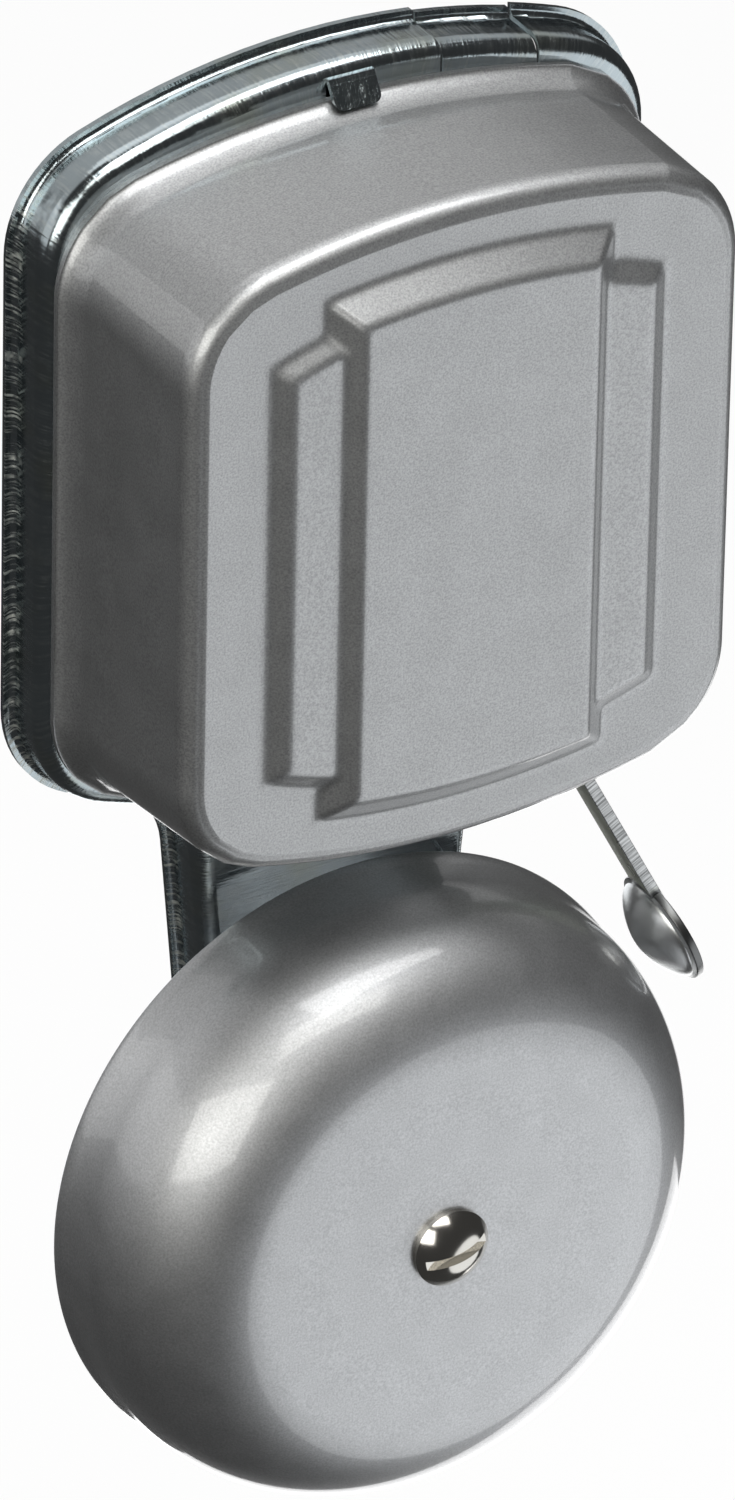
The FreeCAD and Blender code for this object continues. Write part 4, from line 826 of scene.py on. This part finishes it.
def scored_plate(name, colour, sizes, gong_drop):
    """Plated strip cut by a blunt die. Its broad faces get painted sheen, a paler and greener
    copy of the plate.
    Its cut sides have grooves across them, with painted shade in their hollows and painted
    highlight on their ridges.
    The disc's cut edge is darkened with painted shade.

    The cut sides lie half the strip's width from its middle, and the disc's edge one disc
    radius from the striker's middle."""
    striker = (sizes.x, -sizes.depth, sizes.height - gong_drop)
    disc_edge, strip_start = (0.00552, 0.00566), (0.0060, 0.0066)
    side_start, side_end = sizes.width / 2 - 0.00013, sizes.width / 2 - 0.00007
    # Paler, greener copy of the plate for the strip's broad faces: painted sheen.
    sheen_painted_faces = (0.88, 0.92, 0.79), (0.93, 0.97, 0.84)
    nodes = Nodes(bpy.data.materials.new(name))
    turned = nodes.add("ShaderNodeMapping", Vector=nodes.coords, Rotation=(0, sizes.arm_lean, 0))
    grooves = nodes.noise(4300, detail=3.0, stretch=(0.05, 0.08, 1), coords=turned.outputs[0])
    away = nodes.add("ShaderNodeVectorMath", nodes.coords, striker, operation="DISTANCE")
    away = away.outputs["Value"]
    strip = nodes.mask(away, *strip_start)
    # Mask of the disc's cut edge, which gets painted shade.
    edge = nodes.maths("MULTIPLY", nodes.mask(away, *disc_edge),
                       nodes.maths("SUBTRACT", 1.0, strip))
    aside = nodes.maths("ABSOLUTE", nodes.maths("ADD", nodes.axes()["Y"], sizes.depth))
    sides = nodes.maths("MULTIPLY", nodes.mask(aside, side_start, side_end), strip)
    # dark and light: painted shade in the grooves' hollows and painted highlight on their ridges;
    # cut: painted shade for the disc's edge.
    dark, light, bright, cut = shades(colour, 0.32, 0.84, 1.15, 0.25)
    clouds = nodes.noise(260, detail=3.0)
    base = nodes.tones(clouds, colour, bright)
    # Painted sheen on the strip's broad faces.
    base = nodes.mixed(strip, base, nodes.tones(clouds, *sheen_painted_faces))
    # Painted shade and highlight along the grooves of the cut sides.
    base = nodes.mixed(sides, base, nodes.ramp(grooves, [(0.38, dark), (0.60, light)]))
    # The disc's cut edge gets painted shade.
    nodes.feed(Base_Color=nodes.mixed(edge, base, (*cut, 1.0)),
               Roughness=nodes.spread(clouds, 0.27, 0.33, 0.35, 0.65),
               Normal=nodes.bump(nodes.maths("MULTIPLY", grooves, sides), 0.00006), Metallic=1.0)
    return nodes.owner


def enamelled_wire(name, colour):
    """Copper wire under clear enamel, some turns darker than others."""
    nodes = Nodes(bpy.data.materials.new(name))
    turns = nodes.noise(900, detail=1.0, stretch=(1, 0.05, 0.05))
    dark, light = shades(colour, 0.7, 1.25)
    nodes.feed(Base_Color=nodes.ramp(turns, [(0.35, dark), (0.65, light)]),
               Roughness=nodes.spread(nodes.noise(400), 0.22, 0.34), Metallic=0.8,
               Coat_Weight=0.6, Coat_Roughness=0.1)
    return nodes.owner


def moulded(name, colour, roughness, grain=1800, depth=0.00001):
    """Moulded or pressed insulation: soft colour variation and a fine matt grain."""
    nodes = Nodes(bpy.data.materials.new(name))
    cloud = nodes.noise(250, detail=4.0)
    fine = nodes.noise(grain)
    nodes.feed(Base_Color=nodes.tones(cloud, *shades(colour, 0.82, 1.15)),
               Roughness=nodes.about(fine, roughness, 0.06), Normal=nodes.bump(fine, depth, 0.6))
    return nodes.owner


def pale_floor(name):
    """Pale matt floor that the camera sees as nearly white."""
    seen_white = 0.9
    nodes = Nodes(bpy.data.materials.new(name))
    nodes.feed(Base_Color=(0.85, 0.85, 0.85, 1.0), Roughness=0.9)
    path = nodes.add("ShaderNodeLightPath").outputs
    nodes.show(nodes.maths("MULTIPLY", path["Is Camera Ray"], seen_white), nodes.shader,
               nodes.add("ShaderNodeEmission"))
    return nodes.owner


FINISHES_MADE = {}


def make_finishes(scene):
    """All finishes by the name of the record's material slot."""
    tints = scene.bell_finishes
    return {
        "silver_paint": silver_paint("sprayed_cover", tints.paint, 0.48, 0.21),
        "gong_paint": silver_paint("sprayed_gong", tints.gong_paint, 0.475, 0.15),
        "zinc_plate": drawn_zinc("bright_zinc", tints.zinc),
        "nickel": plated("nickel_plate", tints.nickel, 0.14, (1, 0.1, 1), 3500, 0.0000015),
        "hammer_plate": scored_plate("hammer_plate", tints.hammer, scene.bell_hammer,
                                     scene.bell_gong.drop),
        "soft_iron": plated("magnet_iron", tints.iron, 0.38, (0.15, 1, 0.15), 2600, 0.000005),
        "spring_bronze": plated("rolled_bronze", tints.bronze, 0.28, (1, 1, 0.1), 3200, 0.000002),
        "brass": plated("turned_brass", tints.brass, 0.22, (1, 0.2, 1), 3000, 0.000002),
        "silver": plated("contact_silver", tints.silver, 0.25),
        "copper_wire": enamelled_wire("enamelled_copper", tints.copper),
        "bobbin_plastic": moulded("spool_plastic", tints.spool, 0.45),
        "fibre": moulded("pressed_fibre", tints.fibre, 0.6, 1400, 0.00002),
        "phenolic": moulded("phenolic_board", tints.phenolic, 0.4, 1600, 0.000008),
        "rubber": moulded("grommet_rubber", tints.rubber, 0.55, 2200, 0.000012),
        "lead_insulation": moulded("varnished_sleeve", tints.insulation, 0.42, 2600, 0.000006),
    }


def finish(slot):
    """Finish for a slot; all finishes are made at the first call."""
    if not FINISHES_MADE:
        FINISHES_MADE.update(make_finishes(bpy.context.scene))
    return FINISHES_MADE[slot]


# ---- operators
class BELL_OT_stage(bpy.types.Operator):
    """Set up the camera, the pale floor and the soft light"""

    bl_idname = "bell.stage"
    bl_label = "Camera, floor and light"

    def execute(self, context):
        studio = context.scene.bell_studio
        context.scene.view_settings.view_transform = "Standard"
        self.set_camera(context, studio)
        self.set_floor(context, studio)
        self.set_lamps(context, studio)
        self.set_world(context, studio)
        return {"FINISHED"}

    def set_camera(self, context, studio):
        """Camera at its distance from the target, rolled about the line of sight."""
        turn, roll = -studio.turn, studio.roll
        right = Vector((math.cos(turn), math.sin(turn), 0))
        back = outwards(turn, studio.rise)
        up = back.cross(right)
        rolled = right * math.cos(roll) + up * math.sin(roll)
        upright = up * math.cos(roll) - right * math.sin(roll)
        camera = bpy.data.objects.new("bell_camera", bpy.data.cameras.new("bell_camera"))
        camera.data.lens = studio.lens
        camera.data.sensor_width = 36.0
        camera.data.clip_end = 20.0
        place = Vector(studio.target) + back * studio.distance
        turned = Matrix((rolled, upright, back)).transposed().to_4x4()
        camera.matrix_world = Matrix.Translation(place) @ turned
        context.scene.collection.objects.link(camera)
        context.scene.camera = camera

    def set_floor(self, context, studio):
        """Flat square under the object: white to the camera, with the object's shadow on it."""
        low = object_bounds()[0][2] - studio.floor
        half = 3.0
        mesh = bpy.data.meshes.new("floor")
        corners = [(-half, -half, low), (half, -half, low), (half, half, low), (-half, half, low)]
        mesh.from_pydata(corners, [], [(0, 1, 2, 3)])
        mesh.materials.append(pale_floor("pale_floor"))
        floor = bpy.data.objects.new("floor", mesh)
        floor.visible_glossy = False
        floor.visible_diffuse = False
        floor.visible_shadow = False
        context.scene.collection.objects.link(floor)
        floor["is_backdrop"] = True

    def set_lamps(self, context, studio):
        """Soft panels round the object: name, turn to the right, rise, width and height as
        seen from the object, all in degrees, brightness and tone."""
        aim = Vector(studio.target)
        far = 1.2
        warm, plain, cool = (1.0, 0.99, 0.95), (1.0, 1.0, 1.0), (0.96, 0.98, 1.0)
        panels = [("left_panel", "RECTANGLE", -51, 18, 42, 29, 3.8, warm),
                  ("front_top_panel", "RECTANGLE", -9, 48, 36, 14, 3.5, warm),
                  ("top_panel", "RECTANGLE", 22, 70, 44, 28, 5.2, plain),
                  ("back_top_panel", "RECTANGLE", 140, 74, 60, 34, 0.9, plain),
                  ("round_panel", "DISK", 44, -34, 60, 60, 1.36, cool),
                  ("low_right_panel", "RECTANGLE", 128, -49, 44, 28, 2.0, plain),
                  ("far_left_panel", "RECTANGLE", -112, 14, 56, 30, 1.0, plain),
                  ("rim_panel", "RECTANGLE", 175, -14, 40, 30, 1.5, cool)]
        for name, shape, turn, rise, width, height, glow, tone in panels:
            lamp = bpy.data.lights.new(name, "AREA")
            lamp.shape = shape
            lamp.color = tone
            lamp.size = 2 * far * math.tan(math.radians(width / 2))
            lamp.size_y = 2 * far * math.tan(math.radians(height / 2))
            lamp.energy = glow * math.pi * lamp.size * lamp.size_y
            if shape == "DISK":
                lamp.energy *= math.pi / 4
            panel = bpy.data.objects.new(name, lamp)
            away = outwards(math.radians(turn), math.radians(rise))
            panel.location = aim + away * far
            panel.rotation_euler = (-away).to_track_quat("-Z", "Y").to_euler()
            context.scene.collection.objects.link(panel)

    def set_world(self, context, studio):
        """Dim room with a lit wall behind the object, and plain white where the camera looks,
        which metal and glass show too."""
        dim, lit, white = 0.056, 0.6, (1.0, 1.0, 1.0, 1.0)
        nodes = Nodes(bpy.data.worlds.new("studio"), "Generated")
        context.scene.world = nodes.owner
        axes = nodes.axes()
        smooth = {"interpolation_type": "SMOOTHSTEP"}
        behind = nodes.spread(axes["Y"], 0.0, 1.0, 0.05, 0.35, **smooth)
        above = nodes.spread(axes["Z"], 0.0, lit, 0.24, 0.44, **smooth)
        nodes.feed(Color=white, Strength=nodes.maths("MULTIPLY_ADD", behind, above, dim))
        ahead = nodes.add("ShaderNodeVectorMath", nodes.coords,
                          -outwards(-studio.turn, studio.rise), operation="DOT_PRODUCT")
        ahead = nodes.mask(ahead.outputs["Value"], 0.97, 0.99)
        path = nodes.add("ShaderNodeLightPath").outputs
        mirrored = nodes.maths("ADD", path["Is Glossy Ray"], path["Is Transmission Ray"])
        seen = nodes.maths("ADD", path["Is Camera Ray"], nodes.maths("MULTIPLY", mirrored, ahead))
        nodes.show(seen, nodes.shader, nodes.add("ShaderNodeBackground", Color=white))


class BELL_OT_finish_nodes(bpy.types.Operator):
    """Give every carried-over part of the mechanism its finish"""

    bl_idname = "bell.finish_nodes"
    bl_label = "Finish the mechanism"

    def execute(self, context):
        slots = {part["node"]: part["material_slot"] for part in frame["record"]["subparts"]}
        for name, node in frame["nodes"].items():
            material = finish(slots[name])
            if not node.material_slots:
                node.data.materials.append(material)
            for place in node.material_slots:
                place.material = material
        return {"FINISHED"}


class BELL_OT_cover(bpy.types.Operator):
    """Build the drawn cover with its stepped relief, lip and hammer notch"""

    bl_idname = "bell.cover"
    bl_label = "Cover"

    def execute(self, context):
        sizes = context.scene.bell_cover
        surface = cover_surface(sizes, context.scene.bell_relief)
        new_piece("cover_shell", thick_sheet(*surface, sizes.sheet), finish("silver_paint"),
                  "cover", ("cover",))
        return {"FINISHED"}


class BELL_OT_gong(bpy.types.Operator):
    """Build the gong"""

    bl_idname = "bell.gong"
    bl_label = "Gong"

    def execute(self, context):
        new_piece("gong_shell", gong_surface(context.scene.bell_gong), finish("gong_paint"),
                  "base", ("gong",))
        return {"FINISHED"}


class BELL_OT_hammer(bpy.types.Operator):
    """Build the hammer's strip and striker"""

    bl_idname = "bell.hammer"
    bl_label = "Hammer"

    def execute(self, context):
        scene = context.scene
        surface = hammer_surface(scene.bell_hammer, scene.bell_gong.drop)
        new_piece("hammer_strip", surface, finish("hammer_plate"), "hammer",
                  ("hammer_arm",))
        return {"FINISHED"}


class BELL_OT_windings(bpy.types.Operator):
    """Build the two wound coils"""

    bl_idname = "bell.windings"
    bl_label = "Windings"

    def execute(self, context):
        for side in ("upper", "lower"):
            node = "winding_" + side
            new_piece("wound_coil_" + side, winding_surface(node, context.scene.bell_coils),
                      finish("copper_wire"), "base", (node,), crease=75)
        return {"FINISHED"}


class BELL_OT_spring(bpy.types.Operator):
    """Build the leaf spring that the armature hangs on, bending between frame and armature"""

    bl_idname = "bell.spring"
    bl_label = "Leaf spring"

    def execute(self, context):
        sizes = context.scene.bell_spring
        surface = thick_sheet(*spring_surface(sizes), sizes.sheet - 2 * sizes.gap)
        piece = new_piece("leaf_spring", surface, finish("spring_bronze"),
                          None, ("hinge_spring",))
        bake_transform(piece)
        return {"FINISHED"}


class VIEW3D_PT_bell(bpy.types.Panel):
    """Lists the pieces of the bell"""

    bl_idname = "VIEW3D_PT_bell"
    bl_label = "Door bell"
    bl_space_type = "VIEW_3D"
    bl_region_type = "UI"
    bl_category = "Door bell"

    def draw(self, context):
        for operator in OPERATORS:
            self.layout.operator(operator.bl_idname)


GROUPS = {"bell_cover": CoverSizes, "bell_relief": ReliefSizes, "bell_gong": GongSizes,
          "bell_hammer": HammerSizes, "bell_coils": CoilSizes, "bell_spring": SpringSizes,
          "bell_finishes": Finishes, "bell_studio": StudioSettings}
OPERATORS = (BELL_OT_stage, BELL_OT_finish_nodes, BELL_OT_cover, BELL_OT_gong, BELL_OT_hammer,
             BELL_OT_windings, BELL_OT_spring)
CLASSES = (*GROUPS.values(), *OPERATORS, VIEW3D_PT_bell)


def register():
    for known in CLASSES:
        bpy.utils.register_class(known)
    for name, group in GROUPS.items():
        setattr(bpy.types.Scene, name, bpy.props.PointerProperty(type=group))


def unregister():
    for name in GROUPS:
        delattr(bpy.types.Scene, name)
    for known in reversed(CLASSES):
        bpy.utils.unregister_class(known)


def main():
    register()
    bpy.ops.bell.stage()
    bpy.ops.bell.finish_nodes()
    bpy.ops.bell.cover()
    bpy.ops.bell.gong()
    bpy.ops.bell.hammer()
    bpy.ops.bell.windings()
    bpy.ops.bell.spring()


if __name__ == "__main__":
    main()
